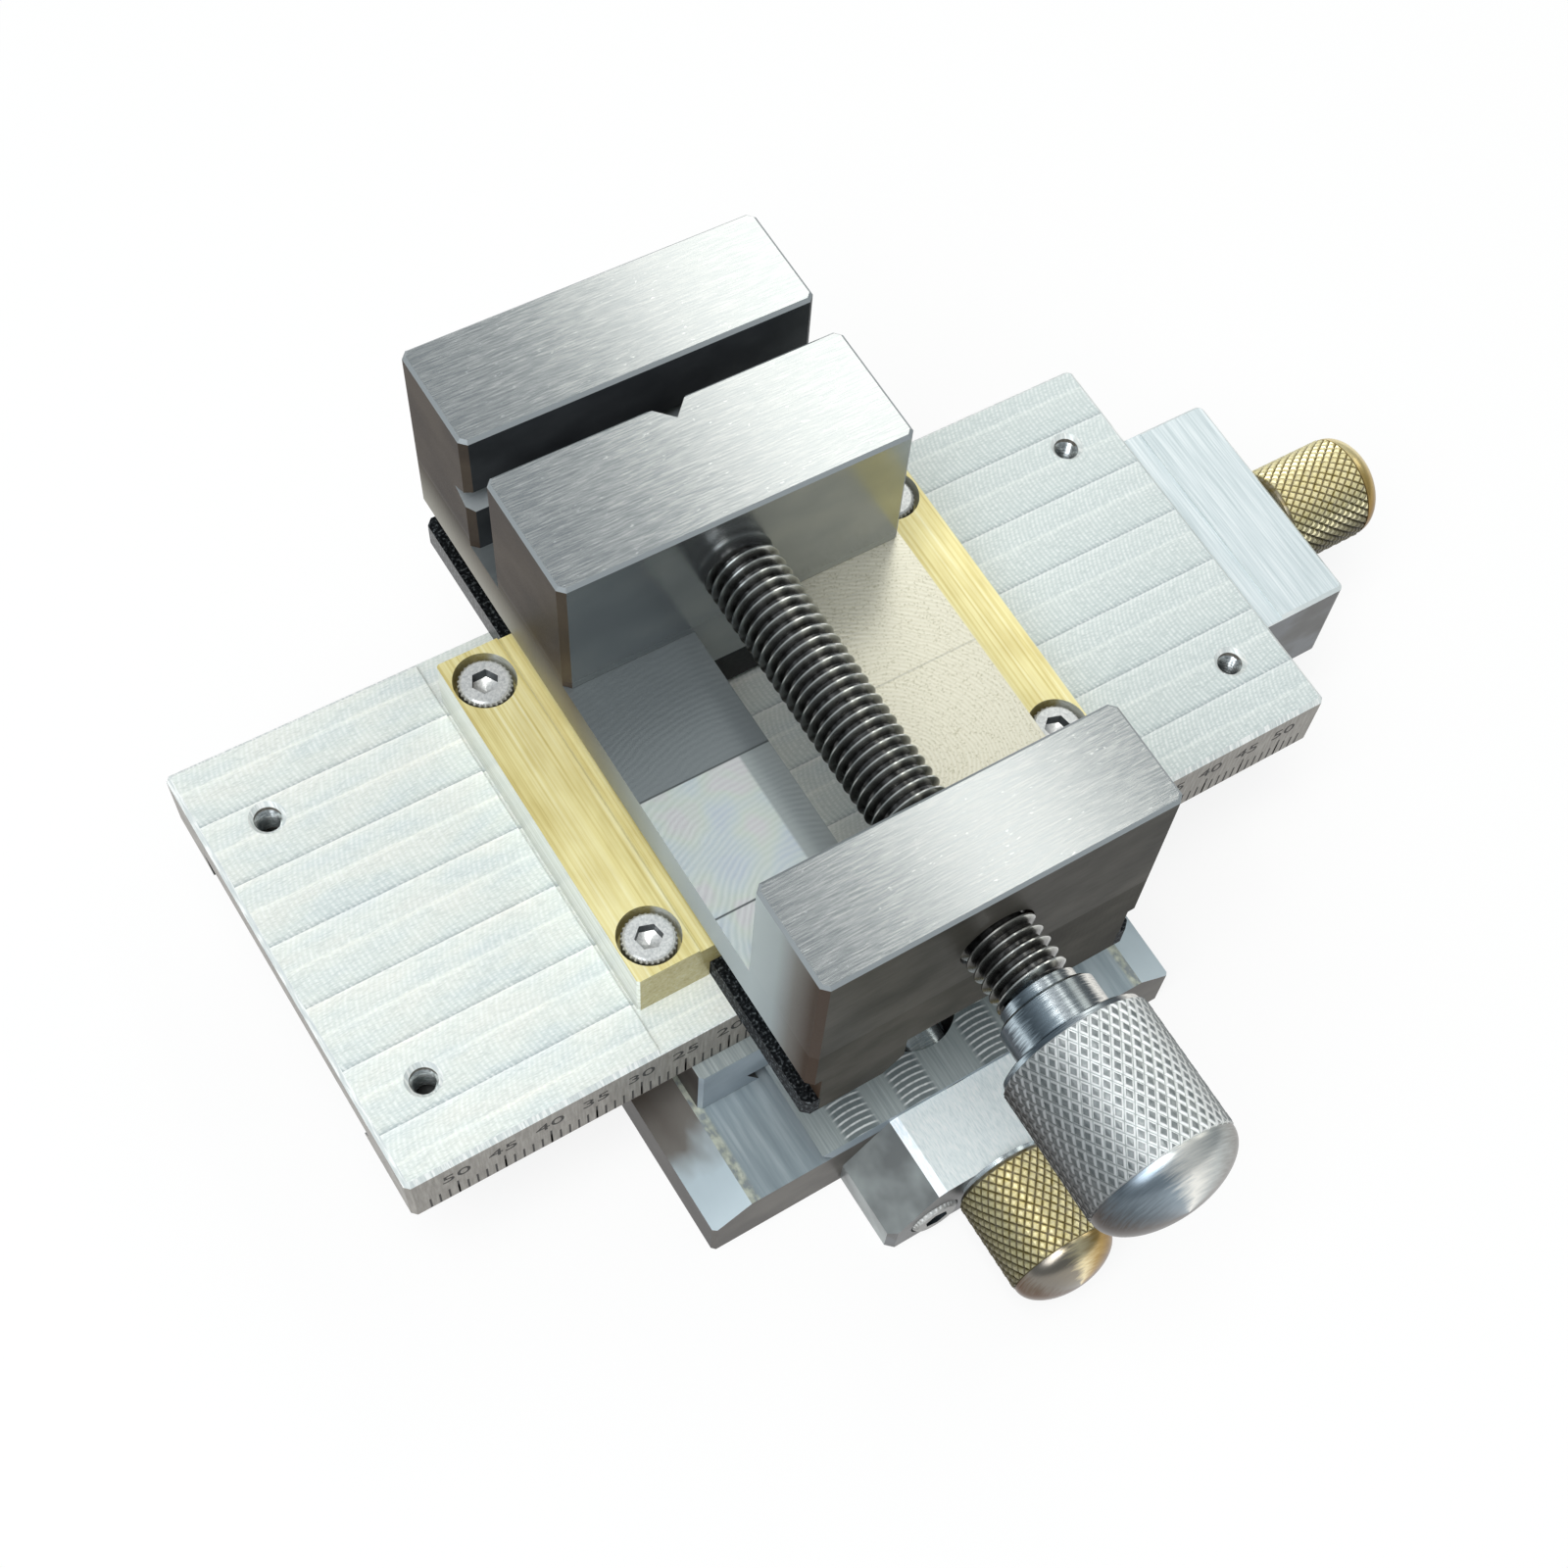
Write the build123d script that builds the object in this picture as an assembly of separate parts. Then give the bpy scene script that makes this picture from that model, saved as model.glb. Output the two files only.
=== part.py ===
from build123d import *
import math
import os

# Cross slide vise: a small screw vise on a two-axis dovetail slide.
# All sizes are in millimetres. The origin is the middle of the underside of
# the base. X runs along the graduated table towards its knob, Y runs away
# from the front knob towards the fixed jaw, and Z is up.

# Clearances
slide_gap = 0.05
guide_relief = 0.15
bore_gap = 0.05
fit_gap = 0.02
seat_gap = 0.1
hole_gap = 0.2
screw_room = 0.3
over = 1.0

# Base with its raised dovetail guide
base_l = 70.0
base_w = 58.4
base_side_h = 6.1
base_flat_h = 8.9
base_flat_w = 49.6
base_edge = 0.4
base_channel_l = 60.6
base_channel_floor = 2.5
base_bolt_x = 40.0
base_bolt_y = 50.0
base_bolt_d = 3.3
base_bolt_depth = 5.5

# Dovetail guides, the same on the base and on the saddle
guide_w = 32.9
guide_h = 2.45
guide_angle = 60.0
gib_w = 2.0
gib_setback = 2.5
gib_screw_d = 2.0
gib_screw_pitch = 17.0
gib_screw_recess = 0.6

# Saddle
saddle_w = 48.5
saddle_l = 53.6
saddle_h = 8.4
saddle_edge = 0.4
rest_x = 0.0
rest_y = 3.3

# Table
table_l = 110.0
table_w = 50.2
table_t = 8.0
table_edge = 0.5
seat_w = 55.6
seat_depth = 0.4
tapped_end = 6.6
tapped_side = 9.0
tapped_d = 2.8
tapped_chamfer = 0.45
tapped_depth = 5.0

# Lead screws, their nuts and thrust washers
lead_d = 6.0
journal_d = 5.0
washer_d = 9.6
washer_t = 0.5
nut_l = 12.0
nut_w = 9.6
nut_depth = 4.4
nut_top = 3.6
lead_chamfer = 0.6
channel_over_nut = 0.4
flange_w = 20.0
flange_t = 2.4
nut_screw_d = 2.5
nut_screw_l = 5.0
nut_screw_along = 4.7
nut_screw_across = 7.3
channel_w = 10.4
screw_channel_w = 6.6

# Front bearing block for the Y screw
y_axis_h = 7.5
y_block_w = 26.8
y_block_top_w = 16.4
y_block_bevel = 1.0
y_block_h = 10.5
y_block_lift = 0.3
y_block_side_h = 4.1
y_block_rim = 0.3
y_block_edge = 0.8
y_block_t = 9.6
y_block_bolt_x = 15.8
y_block_bolt_h = 3.6
y_head_out = 0.4
y_screw_end = 28.5

# End block for the X screw
x_axis_drop = 6.8
x_block_t = 11.2
x_block_w = 28.4
x_block_h = 12.4
x_block_step_w = 2.4
x_block_step = 0.3
x_block_edge = 0.4
x_block_corner = 0.8
x_block_bolt_y = 19.0
x_block_bolt_drop = 3.1
x_nut_place = 16.5
x_screw_end = -20.5

# Knurled knobs of the slides
knob_d = 12.0
knob_l = 11.0
knob_dome = 3.4
knob_chamfer = 0.5
knob_bore_l = 9.0
set_screw_d = 3.0
set_screw_l = 3.0
set_screw_place = 3.5

# Socket head cap screws
cap_d = 3.0
cap_head_d = 5.5
cap_head_h = 3.0
cap_head_edge = 0.3
cap_thread_l = 5.5
cap_hex = 2.5
cap_hex_depth = 1.4
counterbore_d = 6.4
counterbore_depth = 3.2
small_cap_d = 2.0
small_cap_head_d = 3.8
small_cap_head_h = 2.0
small_cap_thread_l = 4.0
small_cap_hex = 1.5
small_cap_hex_depth = 1.0

# Clamp strips
strip_l = 40.0
strip_out = 27.4
strip_h = 6.8
strip_gap = 0.1
strip_lip = 1.3
strip_step_w = 2.6
strip_step = 0.35
strip_edge = 0.25
strip_screw_x = 24.0
strip_screw_y = 16.2
clamp_screw_skin = 0.4

# Vise body
vise_w = 38.6
vise_l = 76.0
vise_h = 29.8
vise_y = 0.4
bed_h = 13.1
front_block_t = 11.8
fixed_jaw_t = 12.2
body_edge = 0.7
top_edge = 0.35
side_groove_z = 3.0
side_groove_h = 4.7
side_groove_depth = 1.5
slot_w = 10.0
under_w = 16.0
under_h = 5.9
under_bevel = 2.2
across_groove_h = 20.7
across_groove_w = 3.1
across_groove_depth = 2.6

# Moving jaw, its keeper and their screws
jaw_t = 14.2
jaw_gap = 4.2
jaw_groove_w = 4.2
keeper_t = 5.0
keeper_w = 15.8
keeper_screw_y = 4.0
keeper_screw_l = 9.0

# Vise screw and its knob
vise_axis_h = 20.7
vise_thread_d = 8.0
vise_thread_out = 6.1
vise_shoulder_l = 1.7
vise_collar_d = 10.1
vise_collar_l = 4.1
collar_edge = 0.3
vise_knob_d = 15.5
vise_knob_l = 14.7
vise_knob_dome = 4.1
vise_knob_chamfer = 0.7
vise_knob_bore_l = 12.0
tip_d = 6.0
tip_l = 9.0
tip_groove_d = 4.4
tip_groove_w = 2.2
tip_groove_place = 4.5
pin_d = 2.0
pin_l = 15.0

# Heights that follow from the stack
base_guide_top = base_flat_h + guide_h
saddle_bottom = base_flat_h + slide_gap
saddle_top = saddle_bottom + saddle_h
saddle_guide_top = saddle_top + guide_h
saddle_ceiling = base_guide_top + guide_relief
table_bottom = saddle_top + slide_gap
table_top = table_bottom + table_t
table_ceiling = saddle_guide_top + guide_relief
seat_z = table_top - seat_depth
x_axis_h = table_top - x_axis_drop
vise_front = vise_y - vise_l / 2
vise_back = vise_y + vise_l / 2
bed_top = seat_z + bed_h
vise_top = seat_z + vise_h
front_block_back = vise_front + front_block_t
fixed_jaw_face = vise_back - fixed_jaw_t
jaw_back = fixed_jaw_face - jaw_gap
jaw_front = jaw_back - jaw_t
jaw_middle = (jaw_front + jaw_back) / 2
vise_axis_z = seat_z + vise_axis_h
bolt_hole_d = cap_d + 2 * hole_gap
head_room_d = cap_head_d + 2 * hole_gap
half_vise = vise_w / 2
guide_foot_w = guide_w - 2 * guide_h / math.tan(math.radians(guide_angle))


def block(x0, x1, y0, y1, z0, z1):
    """A box between two corners."""
    return Pos((x0 + x1) / 2, (y0 + y1) / 2, (z0 + z1) / 2) * Box(x1 - x0, y1 - y0, z1 - z0)


def bar_along_y(points, y0, y1):
    """A bar with its section drawn in X and Z."""
    outline = Polyline(*[(x, y0, z) for x, z in points], close=True)
    return extrude(make_face(outline), amount=y1 - y0, dir=(0, 1, 0))


def bar_along_x(points, x0, x1):
    """A bar with its section drawn in Y and Z."""
    outline = Polyline(*[(x0, y, z) for y, z in points], close=True)
    return extrude(make_face(outline), amount=x1 - x0, dir=(1, 0, 0))


def rod_x(d, y, z, x0, x1):
    return Pos((x0 + x1) / 2, y, z) * Rot(0, 90, 0) * Cylinder(d / 2, x1 - x0)


def rod_y(d, x, z, y0, y1):
    return Pos(x, (y0 + y1) / 2, z) * Rot(90, 0, 0) * Cylinder(d / 2, y1 - y0)


def rod_z(d, x, y, z0, z1):
    return Pos(x, y, (z0 + z1) / 2) * Cylinder(d / 2, z1 - z0)


def ring(outer_d, inner_d, t):
    """A flat ring standing on the XY plane."""
    return Pos(0, 0, t / 2) * (Cylinder(outer_d / 2, t) - Cylinder(inner_d / 2, t))


def facing_front(x, y, z):
    """Places a turned piece, built along +Z, with its far end towards -Y."""
    return Pos(x, y, z) * Rot(90, 0, 0)


def facing_right(x, y, z):
    """Places a turned piece, built along +Z, with its far end towards +X."""
    return Pos(x, y, z) * Rot(0, 90, 0)


def dovetail(flat_z, top_z, widen_near, widen_far):
    """Section of a dovetail from its foot on flat_z to top_z.

    The flanks keep the guide angle. Each side can be widened on its own,
    for a running gap or for the slot that takes a gib.
    """
    lean = (top_z - flat_z) / math.tan(math.radians(guide_angle))
    foot = guide_foot_w / 2
    return [
        (-foot - widen_near, flat_z),
        (foot + widen_far, flat_z),
        (foot + widen_far + lean, top_z),
        (-foot - widen_near - lean, top_z),
    ]


def gib_section(flat_z, side):
    """Section of a gib that fills the slot beside a guide, on one side."""
    low = flat_z + slide_gap
    high = low + guide_h - slide_gap
    tangent = math.tan(math.radians(guide_angle))
    inner = guide_foot_w / 2 + slide_gap
    outer = inner + gib_w - fit_gap
    return [
        (side * (inner + (low - flat_z) / tangent), low),
        (side * (outer + (low - flat_z) / tangent), low),
        (side * (outer + (high - flat_z) / tangent), high),
        (side * (inner + (high - flat_z) / tangent), high),
    ]


def socket_screw(d, head_d, head_h, hex_w, hex_depth, length):
    """Socket head screw: head above the XY plane, shank below it."""
    head = Pos(0, 0, head_h / 2) * Cylinder(head_d / 2, head_h)
    head = chamfer(head.edges().group_by(Axis.Z)[-1], length=cap_head_edge)
    hexagon = RegularPolygon(hex_w / 2, 6, major_radius=False)
    socket = Pos(0, 0, head_h) * extrude(hexagon, -hex_depth)
    shank = Pos(0, 0, -length / 2) * Cylinder(d / 2 - bore_gap, length)
    return head + shank - socket


def cap_screw(length):
    return socket_screw(cap_d, cap_head_d, cap_head_h, cap_hex, cap_hex_depth, length)


def small_cap_screw(length):
    return socket_screw(
        small_cap_d, small_cap_head_d, small_cap_head_h, small_cap_hex, small_cap_hex_depth, length
    )


def flat_screw(length):
    """Countersunk screw: its top lies on the XY plane."""
    radius = nut_screw_d / 2
    head = Pos(0, 0, -radius / 2) * Cone(radius - bore_gap, 2 * radius - bore_gap, radius)
    shank = Pos(0, 0, -length / 2) * Cylinder(radius - bore_gap, length)
    slot = Box(2 * nut_screw_d, nut_screw_d / 5, nut_screw_d / 3)
    return head + shank - slot


def flat_screw_hole(length):
    """The hole for a countersunk screw, cut from the XY plane down."""
    radius = nut_screw_d / 2
    sink = Pos(0, 0, -radius / 2) * Cone(radius, 2 * radius, radius)
    return sink + Pos(0, 0, -length / 2) * Cylinder(radius, length)


def grub_screw(d, length):
    """Headless screw with a hexagon socket, along +Z from the XY plane."""
    body = Pos(0, 0, length / 2) * Cylinder(d / 2 - bore_gap, length)
    hexagon = RegularPolygon(d / 4, 6, major_radius=False)
    return body - Pos(0, 0, length) * extrude(hexagon, -length / 3)


def turned(points):
    """A turned piece along +Z from its outline of (radius, height) pairs."""
    outline = Polyline((0, points[0][1]), *points, (0, points[-1][1]), close=True)
    return Rot(90, 0, 0) * revolve(make_face(outline), Axis.Y)


def dome(radius, rise, foot):
    """Domed end of a knob, standing on the height of its foot."""
    arc = EllipticalCenterArc((0, 0), radius, rise, 0, arc_size=90)
    section = make_face([Line((0, 0), (radius, 0)), arc, Line((0, rise), (0, 0))])
    return Pos(0, 0, foot) * Rot(90, 0, 0) * revolve(section, Axis.Y)


def slide_knob():
    """Knurled knob of a slide along +Z, with a blind bore and a hole for its grub screw."""
    radius = knob_d / 2
    body = turned([(radius - knob_chamfer, 0), (radius, knob_chamfer), (radius, knob_l)])
    body -= Pos(0, 0, knob_bore_l / 2) * Cylinder(journal_d / 2 + fit_gap, knob_bore_l)
    body -= Pos(-radius / 2, 0, set_screw_place) * Rot(0, 90, 0) * Cylinder(set_screw_d / 2, radius)
    return body + dome(radius, knob_dome, knob_l)


def knob_grub():
    """The grub screw that holds a slide knob on its screw."""
    place = Pos(-journal_d / 2 - fit_gap, 0, set_screw_place) * Rot(0, -90, 0)
    return place * grub_screw(set_screw_d, set_screw_l)


def lead_screw(bearing_l, thread_l):
    """Lead screw along +Z: the thread ends in a shoulder on the XY plane.

    The thread runs below the plane. Above it stands the journal, which turns
    in a bearing of the given length and ends in the knob.
    """
    journal_l = bearing_l + washer_t + knob_bore_l
    journal = Pos(0, 0, journal_l / 2) * Cylinder(journal_d / 2, journal_l)
    thread = Pos(0, 0, -thread_l / 2) * Cylinder(lead_d / 2, thread_l)
    return journal + chamfer(thread.edges().group_by(Axis.Z)[0], length=lead_chamfer)


def travelling_nut(low, high, flange_low, heads_up):
    """Flanged nut whose screw runs along Y through the origin.

    Two countersunk screws hold its flange, with their heads above or below it.
    """
    nut = block(-nut_w / 2, nut_w / 2, -nut_l / 2, nut_l / 2, low, high)
    nut += block(-flange_w / 2, flange_w / 2, -nut_l / 2, nut_l / 2, flange_low, flange_low + flange_t)
    nut -= rod_y(lead_d + 2 * bore_gap, 0, 0, -nut_l, nut_l)
    for place in nut_screw_places(flange_low, heads_up):
        nut -= place * flat_screw_hole(nut_screw_l)
    return nut


def nut_screw_places(flange_low, heads_up):
    """Places of the two screws of a nut, each with its head on the flange."""
    head_z = flange_low + flange_t if heads_up else flange_low
    turn = 0 if heads_up else 180
    return [
        Pos(side * nut_screw_across, side * nut_screw_along, head_z) * Rot(turn, 0, 0) for side in (-1, 1)
    ]


def upright(y0, y1, z0):
    """A block on the bed with bevelled corners and a fine bevel round its top."""
    solid = block(-half_vise, half_vise, y0, y1, z0, vise_top)
    solid = chamfer(solid.edges().filter_by(Axis.Z), length=body_edge)
    return chamfer(solid.faces().sort_by(Axis.Z)[-1].edges(), length=top_edge)


parts = {}

# Base plate: flat underside, sloping shoulders and a dovetail guide
half_w = base_w / 2
half_flat = base_flat_w / 2
shoulders = [
    (-half_w, 0), (half_w, 0), (half_w, base_side_h), (half_flat, base_flat_h),
    (-half_flat, base_flat_h), (-half_w, base_side_h),
]
base_front = -base_l / 2
base_back = base_l / 2
base = bar_along_y(shoulders, base_front, base_back)
base = chamfer(base.edges().filter_by(Axis.Z), length=base_edge)
base += bar_along_y(dovetail(base_flat_h, base_guide_top, 0, 0), base_front, base_back)
channel = block(
    -channel_w / 2, channel_w / 2,
    -base_channel_l / 2, base_channel_l / 2,
    base_channel_floor, base_guide_top + guide_h,
)
base -= fillet(channel.edges().filter_by(Axis.Z), radius=channel_w / 2 - seat_gap)
base -= rod_y(lead_d + 2 * screw_room, 0, y_axis_h, base_front - over, 0)
for side in (-1, 1):
    bolt_x = side * y_block_bolt_x / 2
    base -= rod_y(cap_d, bolt_x, y_block_bolt_h, base_front - over, base_front + cap_thread_l + over)
    for end in (-1, 1):
        base -= rod_z(base_bolt_d, side * base_bolt_x / 2, end * base_bolt_y / 2, -over, base_bolt_depth)
parts["base_plate"] = base

# Y bearing block on the front of the base, clear of the bench, with its sides cut away
y_block_front = base_front - y_block_t
y_bolt_seat = y_block_front + cap_head_h - y_head_out
block_half = y_block_w / 2
block_top = y_block_top_w / 2
y_block_section = [
    (-block_half, y_block_lift), (block_half, y_block_lift),
    (block_half, y_block_side_h), (block_top, y_block_h - y_block_rim),
    (block_top - y_block_bevel, y_block_h), (-block_top + y_block_bevel, y_block_h),
    (-block_top, y_block_h - y_block_rim), (-block_half, y_block_side_h),
]
y_block = bar_along_y(y_block_section, y_block_front, base_front)
y_block = chamfer(y_block.edges().filter_by(Axis.Z).group_by(Axis.Y)[0], length=y_block_edge)
y_block -= rod_y(journal_d + 2 * bore_gap, 0, y_axis_h, y_block_front - over, base_front + over)
for side in (-1, 1):
    bolt_x = side * y_block_bolt_x / 2
    y_block -= rod_y(bolt_hole_d, bolt_x, y_block_bolt_h, y_block_front - over, base_front + over)
    y_block -= rod_y(head_room_d, bolt_x, y_block_bolt_h, y_block_front - over, y_bolt_seat)
parts["y_bearing_block"] = y_block
y_bolt = cap_screw(base_front - y_bolt_seat + cap_thread_l)
parts["y_bearing_screws"] = [
    facing_front(side * y_block_bolt_x / 2, y_bolt_seat, y_block_bolt_h) * y_bolt for side in (-1, 1)
]

# Y lead screw, thrust washer, knob and grub screw
y_shoulder = base_front + slide_gap
parts["y_lead_screw"] = facing_front(0, y_shoulder, y_axis_h) * lead_screw(
    y_block_t + slide_gap, y_screw_end - y_shoulder
)
parts["y_thrust_washer"] = facing_front(0, y_block_front - fit_gap, y_axis_h) * ring(
    washer_d, journal_d + 2 * bore_gap, washer_t
)
y_knob_back = y_block_front - washer_t - seat_gap
y_knob_place = facing_front(0, y_knob_back, y_axis_h) * Rot(0, 0, 90)
parts["y_knob"] = y_knob_place * slide_knob()
parts["y_knob_grub_screw"] = y_knob_place * knob_grub()

# Saddle: dovetail way below along Y, dovetail guide above along X
saddle = block(-saddle_w / 2, saddle_w / 2, -saddle_l / 2, saddle_l / 2, saddle_bottom, saddle_top)
saddle = chamfer(saddle.edges().filter_by(Axis.Z), length=saddle_edge)
guide_section = dovetail(saddle_top, saddle_guide_top, 0, 0)
saddle += bar_along_x(guide_section, -saddle_w / 2, saddle_w / 2)
saddle_way = dovetail(base_flat_h, saddle_ceiling, slide_gap + gib_w, slide_gap)
saddle -= bar_along_y(saddle_way, -saddle_l, saddle_l)
y_gib_h = base_flat_h + guide_h / 2
for step in (-1, 0, 1):
    saddle -= rod_x(gib_screw_d, step * gib_screw_pitch, y_gib_h, -saddle_w, -guide_w / 2)
x_channel_floor = x_axis_h - lead_d / 2 - screw_room
saddle -= block(
    -saddle_w, saddle_w, -screw_channel_w / 2, screw_channel_w / 2, x_channel_floor, saddle_guide_top + over
)
# Pocket for the Y nut, cut up from the way
y_pocket_top = saddle_ceiling + flange_t
saddle -= block(
    -flange_w / 2 - seat_gap, flange_w / 2 + seat_gap, -nut_l / 2 - seat_gap, nut_l / 2 + seat_gap,
    saddle_bottom, y_pocket_top,
)
# Pocket for the X nut, cut down from the guide
x_pocket_floor = saddle_guide_top - flange_t
x_nut_front = x_nut_place - nut_l / 2 - seat_gap
x_nut_back = x_nut_place + nut_l / 2 + seat_gap
saddle -= block(
    x_nut_front, x_nut_back, -flange_w / 2 - seat_gap, flange_w / 2 + seat_gap,
    x_pocket_floor, saddle_guide_top + over,
)
x_nut_bottom = x_axis_h - nut_depth
saddle -= block(
    x_nut_front, x_nut_back, -nut_w / 2 - seat_gap, nut_w / 2 + seat_gap,
    x_nut_bottom - seat_gap, saddle_guide_top + over,
)
x_nut_turn = Pos(x_nut_place, 0, x_axis_h) * Rot(0, 0, -90)
y_nut_turn = Pos(0, 0, y_axis_h)
y_flange_low = saddle_ceiling - y_axis_h
x_flange_low = x_pocket_floor - x_axis_h
y_nut_screw_places = [y_nut_turn * place for place in nut_screw_places(y_flange_low, False)]
x_nut_screw_places = [x_nut_turn * place for place in nut_screw_places(x_flange_low, True)]
for place in y_nut_screw_places + x_nut_screw_places:
    saddle -= place * flat_screw_hole(nut_screw_l)
saddle_place = Pos(0, rest_y, 0)
parts["saddle"] = saddle_place * saddle

# Gib of the Y slide and its screws, on the left of the base guide
y_gib = bar_along_y(gib_section(base_flat_h, -1), -saddle_l / 2 + gib_setback, saddle_l / 2 - gib_setback)
parts["y_gib"] = saddle_place * y_gib
gib_middle = guide_foot_w / 2 + slide_gap + gib_w + guide_h / 2 / math.tan(math.radians(guide_angle))
gib_clear = gib_screw_d / 2 / math.tan(math.radians(guide_angle))
gib_screw_start = gib_middle + gib_clear
y_gib_screw = grub_screw(gib_screw_d, saddle_w / 2 - gib_screw_start - gib_screw_recess)
parts["y_gib_screws"] = [
    saddle_place * Pos(-gib_screw_start, step * gib_screw_pitch, y_gib_h) * Rot(0, -90, 0) * y_gib_screw
    for step in (-1, 0, 1)
]

# Nuts of both lead screws, each with its countersunk screws
y_nut = travelling_nut(-nut_depth, y_flange_low + flange_t, y_flange_low, False)
x_nut = travelling_nut(-nut_depth, nut_top, x_flange_low, True)
nut_screw = flat_screw(nut_screw_l - seat_gap)
parts["y_nut"] = saddle_place * y_nut_turn * y_nut
parts["x_nut"] = saddle_place * x_nut_turn * x_nut
parts["y_nut_screws"] = [saddle_place * place * nut_screw for place in y_nut_screw_places]
parts["x_nut_screws"] = [saddle_place * place * nut_screw for place in x_nut_screw_places]

# Table: graduated plate with the dovetail way, the screw channel and the vise seat
table_place = Pos(rest_x, rest_y, 0)
table = block(-table_l / 2, table_l / 2, -table_w / 2, table_w / 2, table_bottom, table_top)
table = chamfer(table.edges().filter_by(Axis.Z), length=table_edge)
table = chamfer(table.faces().sort_by(Axis.Z)[-1].edges(), length=table_edge)
table -= block(-seat_w / 2, seat_w / 2, -table_w, table_w, seat_z, table_top + over)
table_way = dovetail(saddle_top, table_ceiling, slide_gap, slide_gap + gib_w)
table -= bar_along_x(table_way, -table_l, table_l)
table_channel_top = x_axis_h + nut_top + channel_over_nut
table_channel_end = x_screw_end - over
x_channel = block(
    table_channel_end, table_l, -channel_w / 2, channel_w / 2, table_bottom - over, table_channel_top
)
table -= x_channel
for side in (-1, 1):
    for end in (-1, 1):
        hole_x = side * (table_l / 2 - tapped_end)
        hole_y = end * (table_w / 2 - tapped_side)
        table -= rod_z(tapped_d, hole_x, hole_y, table_top - tapped_depth, table_top + over)
        sink_top = tapped_d / 2 + tapped_chamfer
        sink = Cone(tapped_d / 2, sink_top, tapped_chamfer)
        table -= Pos(hole_x, hole_y, table_top - tapped_chamfer / 2) * sink
        screw_low = table_ceiling + clamp_screw_skin
        table -= rod_z(cap_d, side * strip_screw_x, end * strip_screw_y, screw_low, table_top)
    bolt_low = table_l / 2 - small_cap_thread_l - over
    table -= rod_x(small_cap_d, side * x_block_bolt_y / 2, table_top - x_block_bolt_drop, bolt_low, table_l)
x_gib_h = saddle_top + guide_h / 2
for step in (-2, -1, 0, 1, 2):
    table -= rod_y(gib_screw_d, step * gib_screw_pitch, x_gib_h, guide_w / 2, table_w)
parts["table"] = table_place * table

# Gib of the X slide and its screws, along the back of the saddle guide
x_gib = bar_along_x(gib_section(saddle_top, 1), -table_l / 2 + gib_setback, table_l / 2 - gib_setback)
parts["x_gib"] = table_place * x_gib
x_gib_screw = grub_screw(gib_screw_d, table_w / 2 - gib_screw_start - gib_screw_recess)
parts["x_gib_screws"] = [
    table_place * Pos(step * gib_screw_pitch, gib_screw_start, x_gib_h) * Rot(-90, 0, 0) * x_gib_screw
    for step in (-2, -1, 0, 1, 2)
]

# End block of the X screw, bolted to the right end of the table
x_block_start = table_l / 2
x_block_end = x_block_start + x_block_t
x_block = block(
    x_block_start, x_block_end, -x_block_w / 2, x_block_w / 2,
    x_axis_h - x_block_h / 2, x_axis_h + x_block_h / 2,
)
x_block = fillet(x_block.edges().filter_by(Axis.Z).group_by(Axis.X)[-1], radius=x_block_corner)
x_block_rim = x_block.faces().sort_by(Axis.Z)[-1].edges().group_by(Axis.X)[1:]
x_block = chamfer([edge for group in x_block_rim for edge in group], length=x_block_edge)
x_block -= block(
    x_block_start - over, x_block_start + x_block_step_w, -x_block_w, x_block_w,
    x_axis_h + x_block_h / 2 - x_block_step, table_top + over,
)
x_block -= rod_x(journal_d + 2 * bore_gap, 0, x_axis_h, x_block_start - over, x_block_end + over)
bolt_z = table_top - x_block_bolt_drop
bolt_seat_x = x_block_end - small_cap_head_h - hole_gap
for side in (-1, 1):
    bolt_y = side * x_block_bolt_y / 2
    x_block -= rod_x(small_cap_d + hole_gap, bolt_y, bolt_z, x_block_start - over, x_block_end)
    x_block -= rod_x(small_cap_head_d + hole_gap, bolt_y, bolt_z, bolt_seat_x, x_block_end + over)
parts["x_end_block"] = table_place * x_block
x_bolt = small_cap_screw(bolt_seat_x - x_block_start + small_cap_thread_l)
parts["x_end_block_screws"] = [
    table_place * facing_right(bolt_seat_x, side * x_block_bolt_y / 2, bolt_z) * x_bolt for side in (-1, 1)
]

# X lead screw, thrust washer, knob and grub screw
x_shoulder = x_block_start - slide_gap
parts["x_lead_screw"] = table_place * facing_right(x_shoulder, 0, x_axis_h) * lead_screw(
    x_block_t + slide_gap, x_shoulder - x_screw_end
)
parts["x_thrust_washer"] = table_place * facing_right(x_block_end + fit_gap, 0, x_axis_h) * ring(
    washer_d, journal_d + 2 * bore_gap, washer_t
)
x_knob_place = table_place * facing_right(x_block_end + washer_t + seat_gap, 0, x_axis_h) * Rot(0, 0, 180)
parts["x_knob"] = x_knob_place * slide_knob()
parts["x_knob_grub_screw"] = x_knob_place * knob_grub()

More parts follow.
